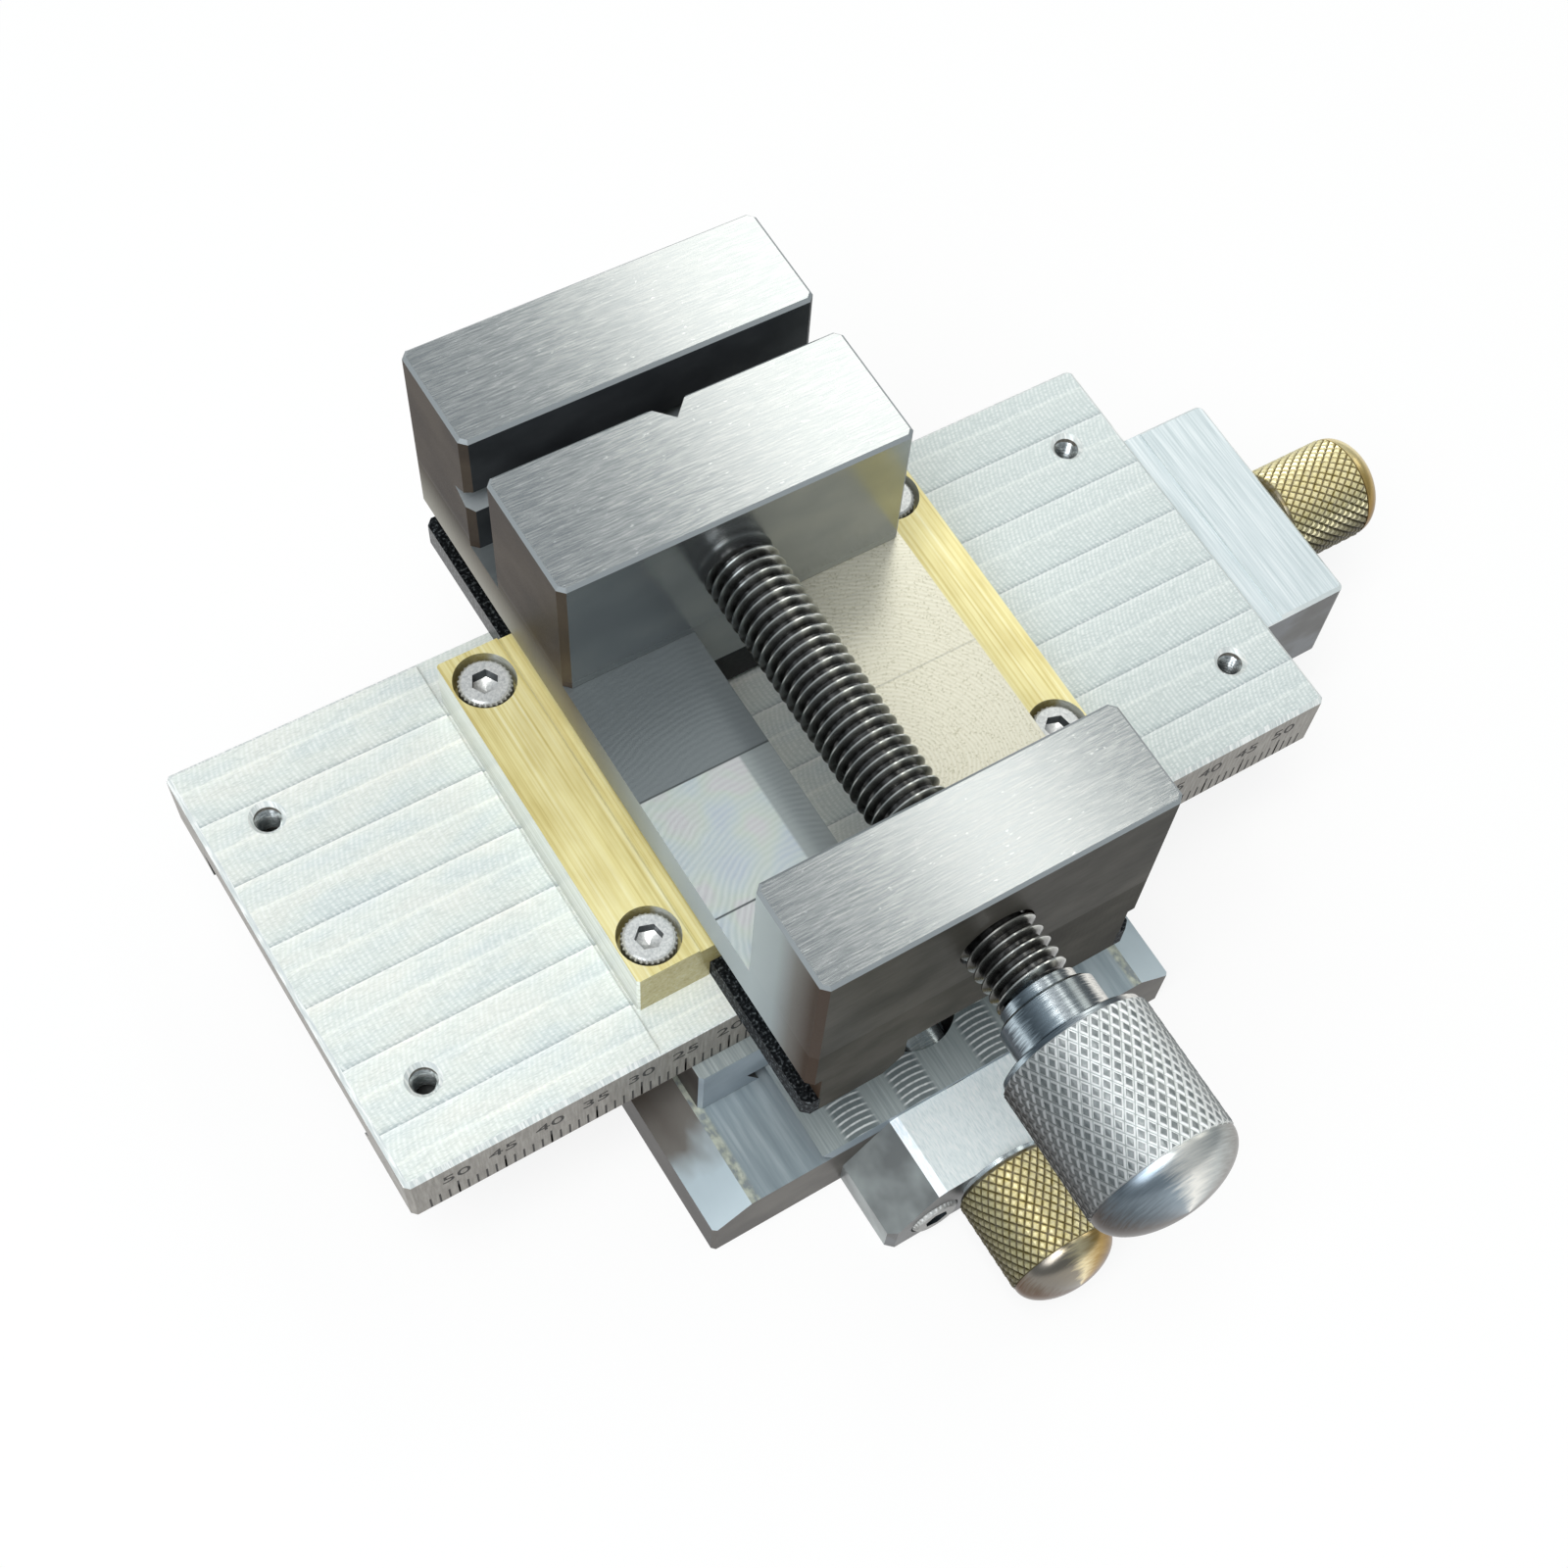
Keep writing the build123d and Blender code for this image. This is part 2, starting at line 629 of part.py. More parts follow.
# Brass clamp strips: each lip reaches over the vise flange
strip_in = vise_w / 2 + strip_gap
strip_lip_in = vise_w / 2 - strip_lip
flange_z = seat_z + side_groove_z
strip_top = seat_z + strip_h
strip_section = [
    (strip_in, seat_z), (strip_out, seat_z), (strip_out, strip_top),
    (strip_lip_in + strip_step_w, strip_top), (strip_lip_in + strip_step_w, strip_top - strip_step),
    (strip_lip_in, strip_top - strip_step), (strip_lip_in, flange_z), (strip_in, flange_z),
]
clamp_screw_seat = strip_top - counterbore_depth
clamp_screw_l = clamp_screw_seat - table_ceiling - 2 * clamp_screw_skin
for name, side in (("left", -1), ("right", 1)):
    section = [(side * x, z) for x, z in strip_section]
    strip = bar_along_y(section, -strip_l / 2, strip_l / 2)
    corners = [e for e in strip.edges().filter_by(Axis.Z) if abs(e.center().X) > strip_out - strip_edge]
    strip = chamfer(corners, length=strip_edge)
    for end in (-1, 1):
        screw_x = side * strip_screw_x
        screw_y = end * strip_screw_y
        strip -= rod_z(bolt_hole_d, screw_x, screw_y, seat_z - over, strip_top)
        strip -= rod_z(counterbore_d, screw_x, screw_y, clamp_screw_seat, strip_top + over)
    parts[name + "_clamp_strip"] = table_place * strip
    clamp_screw = Pos(side * strip_screw_x, 0, clamp_screw_seat) * cap_screw(clamp_screw_l)
    parts[name + "_clamp_screws"] = [
        table_place * Pos(0, end * strip_screw_y, 0) * clamp_screw for end in (-1, 1)
    ]

# Vise body: bed, threaded front block and fixed jaw in one piece
bed = block(-half_vise, half_vise, vise_front, vise_back, seat_z, bed_top)
bed = chamfer(bed.edges().filter_by(Axis.Z), length=body_edge)
vise = bed + upright(vise_front, front_block_back, bed_top) + upright(fixed_jaw_face, vise_back, bed_top)
vise -= block(-slot_w / 2, slot_w / 2, front_block_back, fixed_jaw_face, seat_z, bed_top + over)
under_half = under_w / 2
under_foot = under_half + under_bevel
under_top = seat_z + under_h
under_channel = [
    (-under_foot, seat_z - over), (under_foot, seat_z - over), (under_foot, seat_z),
    (under_half, seat_z + under_bevel), (under_half, under_top), (-under_half, under_top),
    (-under_half, seat_z + under_bevel), (-under_foot, seat_z),
]
vise -= bar_along_y(under_channel, vise_front - over, vise_back + over)
for side in (-1, 1):
    groove_x = sorted((side * (half_vise - side_groove_depth), side * (half_vise + over)))
    vise -= block(*groove_x, vise_front - over, vise_back + over, flange_z, flange_z + side_groove_h)
vise -= rod_y(vise_thread_d + 2 * bore_gap, 0, vise_axis_z, vise_front - over, front_block_back + over)
groove_z = seat_z + across_groove_h
vise -= bar_along_x(
    [
        (fixed_jaw_face, groove_z - across_groove_w / 2),
        (fixed_jaw_face + across_groove_depth, groove_z),
        (fixed_jaw_face, groove_z + across_groove_w / 2),
    ],
    -vise_w, vise_w,
)
parts["vise_body"] = table_place * vise

# Moving jaw with a tongue in the bed slot and an upright groove in its face
jaw = upright(jaw_front, jaw_back, bed_top + slide_gap)
tongue_bottom = under_top - slide_gap
half_tongue = slot_w / 2 - slide_gap
jaw += block(-half_tongue, half_tongue, jaw_front, jaw_back, tongue_bottom, bed_top + slide_gap)
groove_half = jaw_groove_w / 2
groove_foot = bed_top + slide_gap
upright_groove = Polyline(
    (-groove_half, jaw_back, groove_foot), (groove_half, jaw_back, groove_foot),
    (0, jaw_back - groove_half, groove_foot), close=True,
)
jaw -= extrude(make_face(upright_groove), amount=vise_h, dir=(0, 0, 1))
tip_back = jaw_front + tip_l
jaw -= rod_y(tip_d + 2 * bore_gap, 0, vise_axis_z, jaw_front - over, tip_back + screw_room)
keeper_screw_seat = tongue_bottom - keeper_t + cap_head_h + hole_gap
keeper_hole_top = keeper_screw_seat + keeper_screw_l + screw_room
for end in (-1, 1):
    screw_y = jaw_middle + end * keeper_screw_y
    jaw -= rod_z(cap_d, 0, screw_y, tongue_bottom - over, keeper_hole_top)
pin_y = jaw_front + tip_groove_place
pin_x = tip_groove_d / 2 + pin_d / 2 + bore_gap
pin_top = vise_axis_z + pin_d + over
for side in (-1, 1):
    jaw -= rod_z(pin_d + 2 * fit_gap, side * pin_x, pin_y, tongue_bottom - over, pin_top + seat_gap)
parts["moving_jaw"] = table_place * jaw
parts["screw_retaining_pins"] = [
    table_place * rod_z(pin_d, side * pin_x, pin_y, pin_top - pin_l, pin_top) for side in (-1, 1)
]

# Keeper plate under the bed, held by two screws from below
keeper = block(
    -keeper_w / 2, keeper_w / 2, jaw_front, jaw_back, tongue_bottom - keeper_t, tongue_bottom
)
keeper = chamfer(keeper.edges().filter_by(Axis.Z), length=body_edge)
keeper_screws = []
for end in (-1, 1):
    screw_y = jaw_middle + end * keeper_screw_y
    keeper -= rod_z(bolt_hole_d, 0, screw_y, tongue_bottom - keeper_t, tongue_bottom + over)
    keeper -= rod_z(cap_head_d + hole_gap, 0, screw_y, tongue_bottom - keeper_t - over, keeper_screw_seat)
    keeper_screws.append(
        table_place * Pos(0, screw_y, keeper_screw_seat) * Rot(180, 0, 0) * cap_screw(keeper_screw_l)
    )
parts["jaw_keeper"] = table_place * keeper
parts["keeper_screws"] = keeper_screws

# Vise screw along -Y: grooved tip, thread, shoulder and the end inside the knob
thread_front = vise_front - vise_thread_out
shoulder_front = thread_front - vise_shoulder_l
knob_end = shoulder_front - vise_knob_bore_l + seat_gap
screw = rod_y(vise_thread_d, 0, vise_axis_z, shoulder_front, jaw_front - fit_gap)
screw += rod_y(tip_d, 0, vise_axis_z, jaw_front - fit_gap, tip_back)
screw += rod_y(tip_d, 0, vise_axis_z, knob_end, shoulder_front)
tip_groove = rod_y(tip_d + over, 0, vise_axis_z, pin_y - tip_groove_w / 2, pin_y + tip_groove_w / 2)
screw -= tip_groove - rod_y(tip_groove_d, 0, vise_axis_z, pin_y - tip_groove_w, pin_y + tip_groove_w)
parts["vise_screw"] = table_place * screw

# Vise knob: turned collar, knurled grip and domed end
collar_r = vise_collar_d / 2
grip_r = vise_knob_d / 2
vise_knob = turned([
    (collar_r - collar_edge, 0), (collar_r, collar_edge), (collar_r, vise_collar_l),
    (grip_r - vise_knob_chamfer, vise_collar_l), (grip_r, vise_collar_l + vise_knob_chamfer),
    (grip_r, vise_collar_l + vise_knob_l),
])
vise_knob -= Pos(0, 0, vise_knob_bore_l / 2) * Cylinder(tip_d / 2 + fit_gap, vise_knob_bore_l)
vise_knob += dome(grip_r, vise_knob_dome, vise_collar_l + vise_knob_l)
parts["vise_knob"] = table_place * facing_front(0, shoulder_front, vise_axis_z) * vise_knob

os.makedirs("parts", exist_ok=True)
for name, shape in parts.items():
    solids = shape if isinstance(shape, list) else [shape]
    export_step(Compound(children=solids) if len(solids) > 1 else solids[0], f"parts/{name}.step")
print(len(parts), "nodes")
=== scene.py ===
# %% [markdown]
# A cross slide vise, dressed for the camera.
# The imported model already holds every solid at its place. This lesson gives the solids
# their finishes and adds what is too fine for them: threads, knurling, screw heads and
# the engraved millimetre scale. Everything is in metres, in the frame of the model.

# %% Load the frame
import math
import bpy
from mathutils import Euler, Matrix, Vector


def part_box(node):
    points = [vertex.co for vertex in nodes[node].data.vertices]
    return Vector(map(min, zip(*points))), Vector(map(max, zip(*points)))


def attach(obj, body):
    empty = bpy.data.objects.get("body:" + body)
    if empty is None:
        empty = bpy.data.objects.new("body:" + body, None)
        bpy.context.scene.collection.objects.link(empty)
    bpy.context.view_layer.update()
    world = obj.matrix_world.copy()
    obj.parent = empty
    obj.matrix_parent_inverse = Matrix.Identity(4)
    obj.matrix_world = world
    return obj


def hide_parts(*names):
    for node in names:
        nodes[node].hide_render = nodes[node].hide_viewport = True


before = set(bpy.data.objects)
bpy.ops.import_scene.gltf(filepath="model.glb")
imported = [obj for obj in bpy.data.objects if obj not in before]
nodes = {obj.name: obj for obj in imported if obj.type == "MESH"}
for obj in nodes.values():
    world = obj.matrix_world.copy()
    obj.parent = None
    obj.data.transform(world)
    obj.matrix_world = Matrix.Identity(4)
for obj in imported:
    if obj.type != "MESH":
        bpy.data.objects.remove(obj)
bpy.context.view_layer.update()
MM = 0.001

# %% [markdown]
# Most pieces are made from a few helpers. An operator acts on all that is selected, so
# each piece starts from an empty selection and ends with its transform applied, which
# leaves its object at the origin with its place in its mesh, as the solids have it.


# %% Helpers for pieces
def start_piece():
    """Leaves edit mode and clears the selection, so that the next operator acts on new work."""
    if bpy.context.object and bpy.context.object.mode == "EDIT":
        bpy.ops.object.mode_set(mode="OBJECT")
    bpy.ops.object.select_all(action="DESELECT")


def only(piece):
    """Makes one piece the only selected and the active one."""
    start_piece()
    piece.select_set(True)
    bpy.context.view_layer.objects.active = piece


def apply_modifiers(piece):
    only(piece)
    for modifier in list(piece.modifiers):
        bpy.ops.object.modifier_apply(modifier=modifier.name)


def close_mesh(piece, inside=False):
    """Merges doubles and turns the faces outwards, or inwards for the wall of a hole."""
    only(piece)
    bpy.ops.object.mode_set(mode="EDIT")
    bpy.ops.mesh.select_all(action="SELECT")
    bpy.ops.mesh.remove_doubles(threshold=0.002 * MM)
    bpy.ops.mesh.normals_make_consistent(inside=inside)
    bpy.ops.object.mode_set(mode="OBJECT")


def place_piece(piece, at=(0, 0, 0), turn=(0, 0, 0)):
    """Moves a piece to its place, in millimetres and degrees, and applies that to its mesh."""
    only(piece)
    piece.location = [v * MM for v in at]
    piece.rotation_euler = [math.radians(a) for a in turn]
    bpy.ops.object.transform_apply(location=True, rotation=True, scale=True)


def copy_piece(piece, name):
    """A copy with its own mesh."""
    twin = piece.copy()
    twin.data = piece.data.copy()
    twin.name = name
    bpy.context.collection.objects.link(twin)
    return twin


def dress(piece, body, material):
    """Gives a finished piece its material and the body that carries it."""
    piece.data.materials.append(material)
    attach(piece, body)


# %% [markdown]
# Each finish is a small node tree. Colours are written as the sRGB hex values that a
# designer would read off a sample, and one function turns them to the linear values that
# Blender wants. One more function adds a node and feeds its inputs in their order: a node
# or a socket is linked, and anything else is set as a value.


# %% Helpers for materials
def linear(code):
    """A hex colour as linear red, green, blue and alpha."""
    channels = [int(code[i:i + 2], 16) / 255 for i in (1, 3, 5)]
    return [c / 12.92 if c <= 0.04045 else ((c + 0.055) / 1.055) ** 2.4 for c in channels] + [1.0]


def feed(tree, value, socket):
    """Links a node or a socket to an input, or sets the input to a plain value."""
    if isinstance(value, bpy.types.Node):
        value = next(output for output in value.outputs if output.enabled)
    if isinstance(value, bpy.types.NodeSocket):
        tree.links.new(value, socket)
    else:
        socket.default_value = value


def set_stops(band, stops):
    """Writes (position, hex colour) stops into a colour ramp."""
    while len(band.elements) < len(stops):
        band.elements.new(0.5)
    for element, (position, code) in zip(band.elements, stops):
        element.position = position
        element.color = linear(code)


def add(tree, kind, *values, stops=(), **settings):
    """Adds a node with its settings, and feeds its open inputs in their order."""
    node = tree.nodes.new("ShaderNode" + kind)
    for key, setting in settings.items():
        setattr(node, key, setting)
    if stops:
        set_stops(node.color_ramp, stops)
    open_inputs = [socket for socket in node.inputs if socket.enabled]
    for value, socket in zip(values, open_inputs):
        feed(tree, value, socket)
    return node


def new_metal(name, roughness, metallic):
    """A metal with its tree, its shader and Object coordinates in millimetres."""
    material = bpy.data.materials.new(name)
    material.use_nodes = True
    tree = material.node_tree
    shader = tree.nodes["Principled BSDF"]
    shader.inputs["Metallic"].default_value = metallic
    shader.inputs["Roughness"].default_value = roughness
    place = add(tree, "Mapping", add(tree, "TexCoord").outputs["Object"])
    place.inputs["Scale"].default_value = (1 / MM, 1 / MM, 1 / MM)
    return material, tree, shader, place


def stretched_noise(tree, place, stretch, detail=4.0):
    """Noise with a grain of 1 mm over each value. A small value draws it out along its axis."""
    grain = add(tree, "Mapping", place)
    grain.inputs["Scale"].default_value = stretch
    return add(tree, "TexNoise", grain, 1.0, detail)


def spread(codes, low=0.35, high=0.65):
    """Stops that spread hex tones evenly over the range where most values of a noise lie."""
    step = (high - low) / (len(codes) - 1)
    return [(low + step * n, code) for n, code in enumerate(codes)]


def roughen(tree, shader, height, distance):
    """Feeds a height to the shader's normal. The distance, in millimetres, is its depth."""
    bump = add(tree, "Bump")
    feed(tree, height, bump.inputs["Height"])
    bump.inputs["Distance"].default_value = distance * MM
    feed(tree, bump, shader.inputs["Normal"])


# %% [markdown]
# The table is a plate of aluminium, milled in passes that run its whole length. Each pass
# leaves the curved marks of the cutter and a fine step to the next one. The marks are arcs
# of one radius, so their height is a wave along X, shifted by how far Y lies from the
# middle of its pass. The real marks are as fine as hairs and uneven, and are drawn 0.55 mm
# apart to show. Fresh milled aluminium scatters much of its light, so it is given
# only a small metallic share.

# %% Marks of the cutter on the table
PASS_WIDTH = 7.45
PASS_START = 3.2
PASS_MIDDLE = 0.35
CUTTER_RADIUS = 9.0
MARK_SPACING = 0.55
REST_Y = (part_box("table")[0][1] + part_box("table")[1][1]) / 2 / MM
TABLE_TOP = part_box("table")[1][2] / MM


def product(tree, first, *others):
    """Multiplies values or masks."""
    for other in others:
        first = add(tree, "Math", first, other, operation="MULTIPLY")
    return first


def wave(tree, distance, spacing):
    """A sine of a distance that repeats at a spacing."""
    return add(tree, "Math", product(tree, distance, 2 * math.pi / spacing), operation="SINE")


def milled_passes(tree, x, y):
    """Height of the arcs, and how far across its pass a point lies, from 0 to 1."""
    from_line = add(tree, "Math", y, REST_Y + PASS_START, operation="SUBTRACT")
    passes = add(tree, "Math", from_line, PASS_WIDTH, operation="DIVIDE")
    across = add(tree, "Math", passes, operation="FRACT")
    off_middle = product(tree, add(tree, "Math", across, PASS_MIDDLE, operation="SUBTRACT"), PASS_WIDTH)
    drop = product(tree, off_middle, off_middle)
    bow = add(tree, "Math", CUTTER_RADIUS ** 2, drop, operation="SUBTRACT")
    bow = add(tree, "Math", bow, operation="SQRT")
    along = add(tree, "Math", x, bow, operation="ADD")
    return wave(tree, along, MARK_SPACING), across


print("table top at", round(TABLE_TOP, 2), "mm, its middle at y", round(REST_Y, 2))

# %% [markdown]
# The table has several looks: milled on top, a painted highlight on its bevels, sawn sides
# darkened with painted shade, and painted shade at the bottom of its holes. Its top is also
# painted a little darker towards the right, as shade. A mask, which is 1 where a look shows,
# comes from the direction a face looks in or from its height, and the looks are laid over
# each other like coats of paint. A Mix node with the settings TINT multiplies two colours,
# so that one darkens or tints the other.

# %% Milled aluminium of the table
LIT_DEPTH = 3.0
TINT = {"data_type": "RGBA", "blend_type": "MULTIPLY"}


def layered(tree, colour, *layers):
    """Lays colours over a first one, each as far as its mask says."""
    for mask, above in layers:
        colour = add(tree, "Mix", mask, colour, above, data_type="RGBA")
    return colour


def face_direction(tree):
    """X, Y and Z of the direction a face looks in, on the piece itself."""
    return add(tree, "SeparateXYZ", add(tree, "TexCoord").outputs["Normal"]).outputs


def make_table_metal():
    """Milled top, bevels with a painted highlight, and sides and hole bottoms darkened by painted shade, in
    one material.
    """
    material, tree, shader, place = new_metal("milled aluminium", 0.38, 0.18)
    x, y, z = add(tree, "SeparateXYZ", place).outputs
    up = face_direction(tree)[2]
    marks, across = milled_passes(tree, x, y)
    cloud = stretched_noise(tree, place, (0.12, 0.35, 0.35))
    fine = stretched_noise(tree, place, (1.6, 9.0, 9.0))
    upright_lines = stretched_noise(tree, place, (4.0, 0.4, 0.4), 3.0)
    pass_tone = add(tree, "ValToRGB", across, stops=[
        (0.0, "#A9B2B4"), (0.03, "#C6CECD"), (0.09, "#DCE3E0"), (0.50, "#E4E9E5"), (0.56, "#F3F6F1"),
        (0.60, "#E0E6E3"), (0.93, "#E8EDE9"), (0.985, "#F6F8F5"),
    ])
    tint_and_shade = add(tree, "ValToRGB", cloud, stops=spread(("#F2F6F6", "#FBFCF8", "#FFFDF8")))
    # painted shade: the top is coloured a little darker towards the right
    tint_and_shade = layered(tree, tint_and_shade, (add(tree, "MapRange", x, -15.0, 35.0), linear("#E2E7E8")))
    glitter = add(tree, "MapRange", fine, 0.35, 0.65)
    crests = product(tree, add(tree, "MapRange", marks, -1.0, 1.0), glitter)
    crests = add(tree, "MapRange", crests, 0.0, 1.0, 0.0, 0.55)
    furrows = add(tree, "MapRange", fine, 0.30, 0.52, 0.22, 0.0)
    passes = add(tree, "Mix", 1.0, pass_tone, tint_and_shade, **TINT)
    passes = layered(tree, passes, (crests, linear("#FDFEFC")), (furrows, linear("#9DA7A8")))
    # painted shade: the sawn upright faces are coloured darker
    codes = ("#7A756D", "#88837B", "#99948C")
    edge = add(tree, "ValToRGB", upright_lines, stops=spread(codes, 0.3, 0.7))
    # painted highlight: the bevels are coloured near white
    bevel_highlight = add(tree, "ValToRGB", upright_lines, stops=[
        (0.35, "#CFD6D5"), (0.5, "#DDE3E0"), (0.62, "#F8FAF7"),
    ])
    level = add(tree, "MapRange", up, 0.85, 0.95)
    standing = add(tree, "MapRange", up, 0.3, 0.5, 1.0, 0.0)
    # painted shade: level faces deep in the holes are coloured near black
    low = add(tree, "Math", z, TABLE_TOP - LIT_DEPTH, operation="LESS_THAN")
    hole_shade = product(tree, low, add(tree, "MapRange", up, 0.3, 0.5))
    colour = layered(tree, bevel_highlight, (level, passes), (standing, edge), (hole_shade, linear("#2A2D2D")))
    feed(tree, colour, shader.inputs["Base Color"])
    feed(tree, add(tree, "MapRange", fine, 0.3, 0.7, 0.32, 0.48), shader.inputs["Roughness"])
    height = add(tree, "Math", product(tree, marks, 0.5), fine, operation="ADD")
    roughen(tree, shader, height, 0.008)
    return material


milled_aluminium = make_table_metal()
print(milled_aluminium.name, "dark below", round(TABLE_TOP - LIT_DEPTH, 2), "mm")

# %% [markdown]
# The vise is one block of tool steel with several looks. The bed between its jaws was
# milled in patches, with the arcs of the cutter and a thin line where two patches meet.
# Arcs round a centre are a wave of the distance to it, and each patch has its own centre.
# A band left of the slot is a painted shadow of the screw, and the far part of the left
# patch is painted darker as the shadow of the moving jaw.

# %% Bed of the vise
BED_LINES = (-3.0, -17.1)
SLOT_EDGE = 5.0
SCREW_SHADOW_WIDTH = 3.4


def within(tree, value, low, high, soft):
    """1 where a value lies between two limits, 0 outside, with soft ends."""
    rise = add(tree, "MapRange", value, low - soft, low + soft)
    fall = add(tree, "MapRange", value, high - soft, high + soft, 1.0, 0.0)
    return product(tree, rise, fall)


def arcs(tree, x, y, centre, spacing, wobble):
    """Height of the arcs that a cutter leaves round a centre: a sine of the distance to it."""
    across = add(tree, "Math", x, centre[0], operation="SUBTRACT")
    along = add(tree, "Math", y, centre[1], operation="SUBTRACT")
    across, along = product(tree, across, across), product(tree, along, along)
    distance = add(tree, "Math", add(tree, "Math", across, along, operation="ADD"), operation="SQRT")
    return wave(tree, add(tree, "Math", distance, wobble, operation="ADD"), spacing)


def bed_colour(tree, place, x, y, swirl, turns):
    """The milled patches of the bed, left and right of its slot, with a painted shadow of the screw and of
    the moving jaw.
    """
    haze = stretched_noise(tree, place, (0.16, 0.16, 0.16), 2.0)
    film = add(tree, "ValToRGB", haze, stops=[
        (0.35, "#C2CDD6"), (0.45, "#C6D2D4"), (0.55, "#CBD5CD"), (0.62, "#D0D0D2"),
    ])
    ridges = add(tree, "MapRange", swirl, -1.0, 1.0, 0.0, 0.35)
    # painted shadow of the screw: a darker band left of the slot
    screw_shadow = within(tree, x, -SLOT_EDGE - SCREW_SHADOW_WIDTH, -SLOT_EDGE + 1.0, 0.15)
    # painted shadow of the moving jaw: the far part of the left patch is darker
    far = add(tree, "MapRange", y, BED_LINES[0] - 0.1, BED_LINES[0] + 0.1)
    left = layered(tree, film, (ridges, linear("#E4E9E7")), (screw_shadow, linear("#A7AFAF")))
    left = layered(tree, left, (far, linear("#858C8E")))
    ridges = add(tree, "MapRange", turns, -1.0, 1.0, 0.0, 0.45)
    warm = layered(tree, linear("#DEDAC6"), (ridges, linear("#F3F1E4")))
    specks = stretched_noise(tree, place, (5.0, 5.0, 5.0), 2.0)
    right = layered(tree, linear("#C4C0A8"), (add(tree, "MapRange", specks, 0.32, 0.44), warm))
    bed = layered(tree, left, (add(tree, "MapRange", x, -0.5, 0.5), right))
    fainter_right = add(tree, "MapRange", x, -0.5, 0.5, 1.0, 0.25)
    for line in BED_LINES:
        seam = within(tree, y, line - 0.10, line + 0.10, 0.06)
        bed = layered(tree, bed, (product(tree, seam, fainter_right), linear("#5B6061")))
    return bed


print("milled patches meet at y", BED_LINES)

# %% [markdown]
# The upright faces of the vise carry painted shade and painted reflections. They are coloured
# darker than its tops; the left ones are brownish as a painted reflection; the front of the
# front block and the clamping face of the fixed jaw are dark as painted shade; and the front
# of the moving jaw and the foot of the left side are brighter as painted reflections. Which
# face is which follows from the direction it looks in and from where it lies along Y,
# measured from the solids' own boxes.

# %% Upright faces of the vise
JAW_MIDDLE = (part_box("moving_jaw")[0][1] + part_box("moving_jaw")[1][1]) / 2 / MM
JAW_ZONE = JAW_MIDDLE - 16.0
BLOCK_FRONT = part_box("vise_body")[0][1] / MM
BLOCK_THICKNESS = 11.8


def looks_minus(tree, direction):
    """1 on faces that look against an axis: to the left along X, to the front along Y."""
    return add(tree, "MapRange", direction, -0.7, -0.5, 1.0, 0.0)


def upright_colour(tree, cloud, y, side, front, foot):
    """The upright faces, with painted shade and painted reflections: the moving jaw paler in front, the
    left sides brownish.
    """
    # painted shade: the other upright faces are darker than the tops
    plain = add(tree, "ValToRGB", cloud, stops=spread(("#81837E", "#8B8D88", "#959792")))
    # painted shade on the front of the front block
    block_front_shade = add(tree, "ValToRGB", cloud, stops=spread(("#3A3833", "#45433D", "#524F49")))
    # painted reflection: the front of the moving jaw is paler
    jaw_front = add(tree, "ValToRGB", cloud, stops=spread(("#989C9E", "#A0A4A5", "#A9ACAB")))
    # painted shade on the clamping face of the fixed jaw, seen in the gap
    gap_shade = add(tree, "ValToRGB", cloud, stops=spread(("#303336", "#393C3F", "#44474A")))
    # painted brown reflection on the left sides
    brown_reflection = add(tree, "ValToRGB", cloud, stops=spread(("#38302A", "#40372F", "#494037")))
    from_front = add(tree, "MapRange", y, BLOCK_FRONT, BLOCK_FRONT + BLOCK_THICKNESS)
    # painted shade and reflection along the left side of the front block, dark at its front
    block_flank_shade = add(tree, "ValToRGB", from_front, stops=[
        (0.10, "#3F3228"), (0.35, "#6F6D69"), (0.60, "#9BA3A4"), (0.90, "#A9B2B3"),
    ])
    on_jaw = add(tree, "MapRange", y, JAW_ZONE, JAW_ZONE + 1.0)
    in_gap = add(tree, "MapRange", y, JAW_MIDDLE, JAW_MIDDLE + 1.0)
    fronts = layered(tree, block_front_shade, (on_jaw, jaw_front), (in_gap, gap_shade))
    # painted reflection: the foot of the left side is brighter
    jaw_flank_reflection = layered(tree, brown_reflection, (foot, linear("#A7A498")))
    towards_jaws = add(tree, "MapRange", y, JAW_MIDDLE - 26.0, JAW_MIDDLE - 8.0)
    flanks = layered(tree, block_flank_shade, (towards_jaws, jaw_flank_reflection))
    return layered(tree, plain, (looks_minus(tree, front), fronts), (looks_minus(tree, side), flanks))


print("front block from y", round(BLOCK_FRONT, 2), "and moving jaw round y", round(JAW_MIDDLE, 2))

# %% [markdown]
# The tops are surface ground, which leaves short fine streaks along the jaws and a strong
# shine. The upright faces would mirror the white floor and turn pale, so their metallic
# share is small, and the specular level is set far below the usual 0.5, which keeps them
# dark along with their painted shade. Only the two brighter places mirror the room, and
# their colour adds a painted reflection. The flange that the clamps hold is coloured near
# black, with paler flecks.

# %% Steel of the vise
DARK_SPECULAR = 0.06
BED_TOP = 38.1
FLANGE_TOP = 28.05
FLANGE_IN = 17.6
SWIRL_CENTRE, SWIRL_SPACING = (-9.0, -24.0), 0.62
TURN_CENTRE, TURN_SPACING = (4.0, -12.0), 0.45


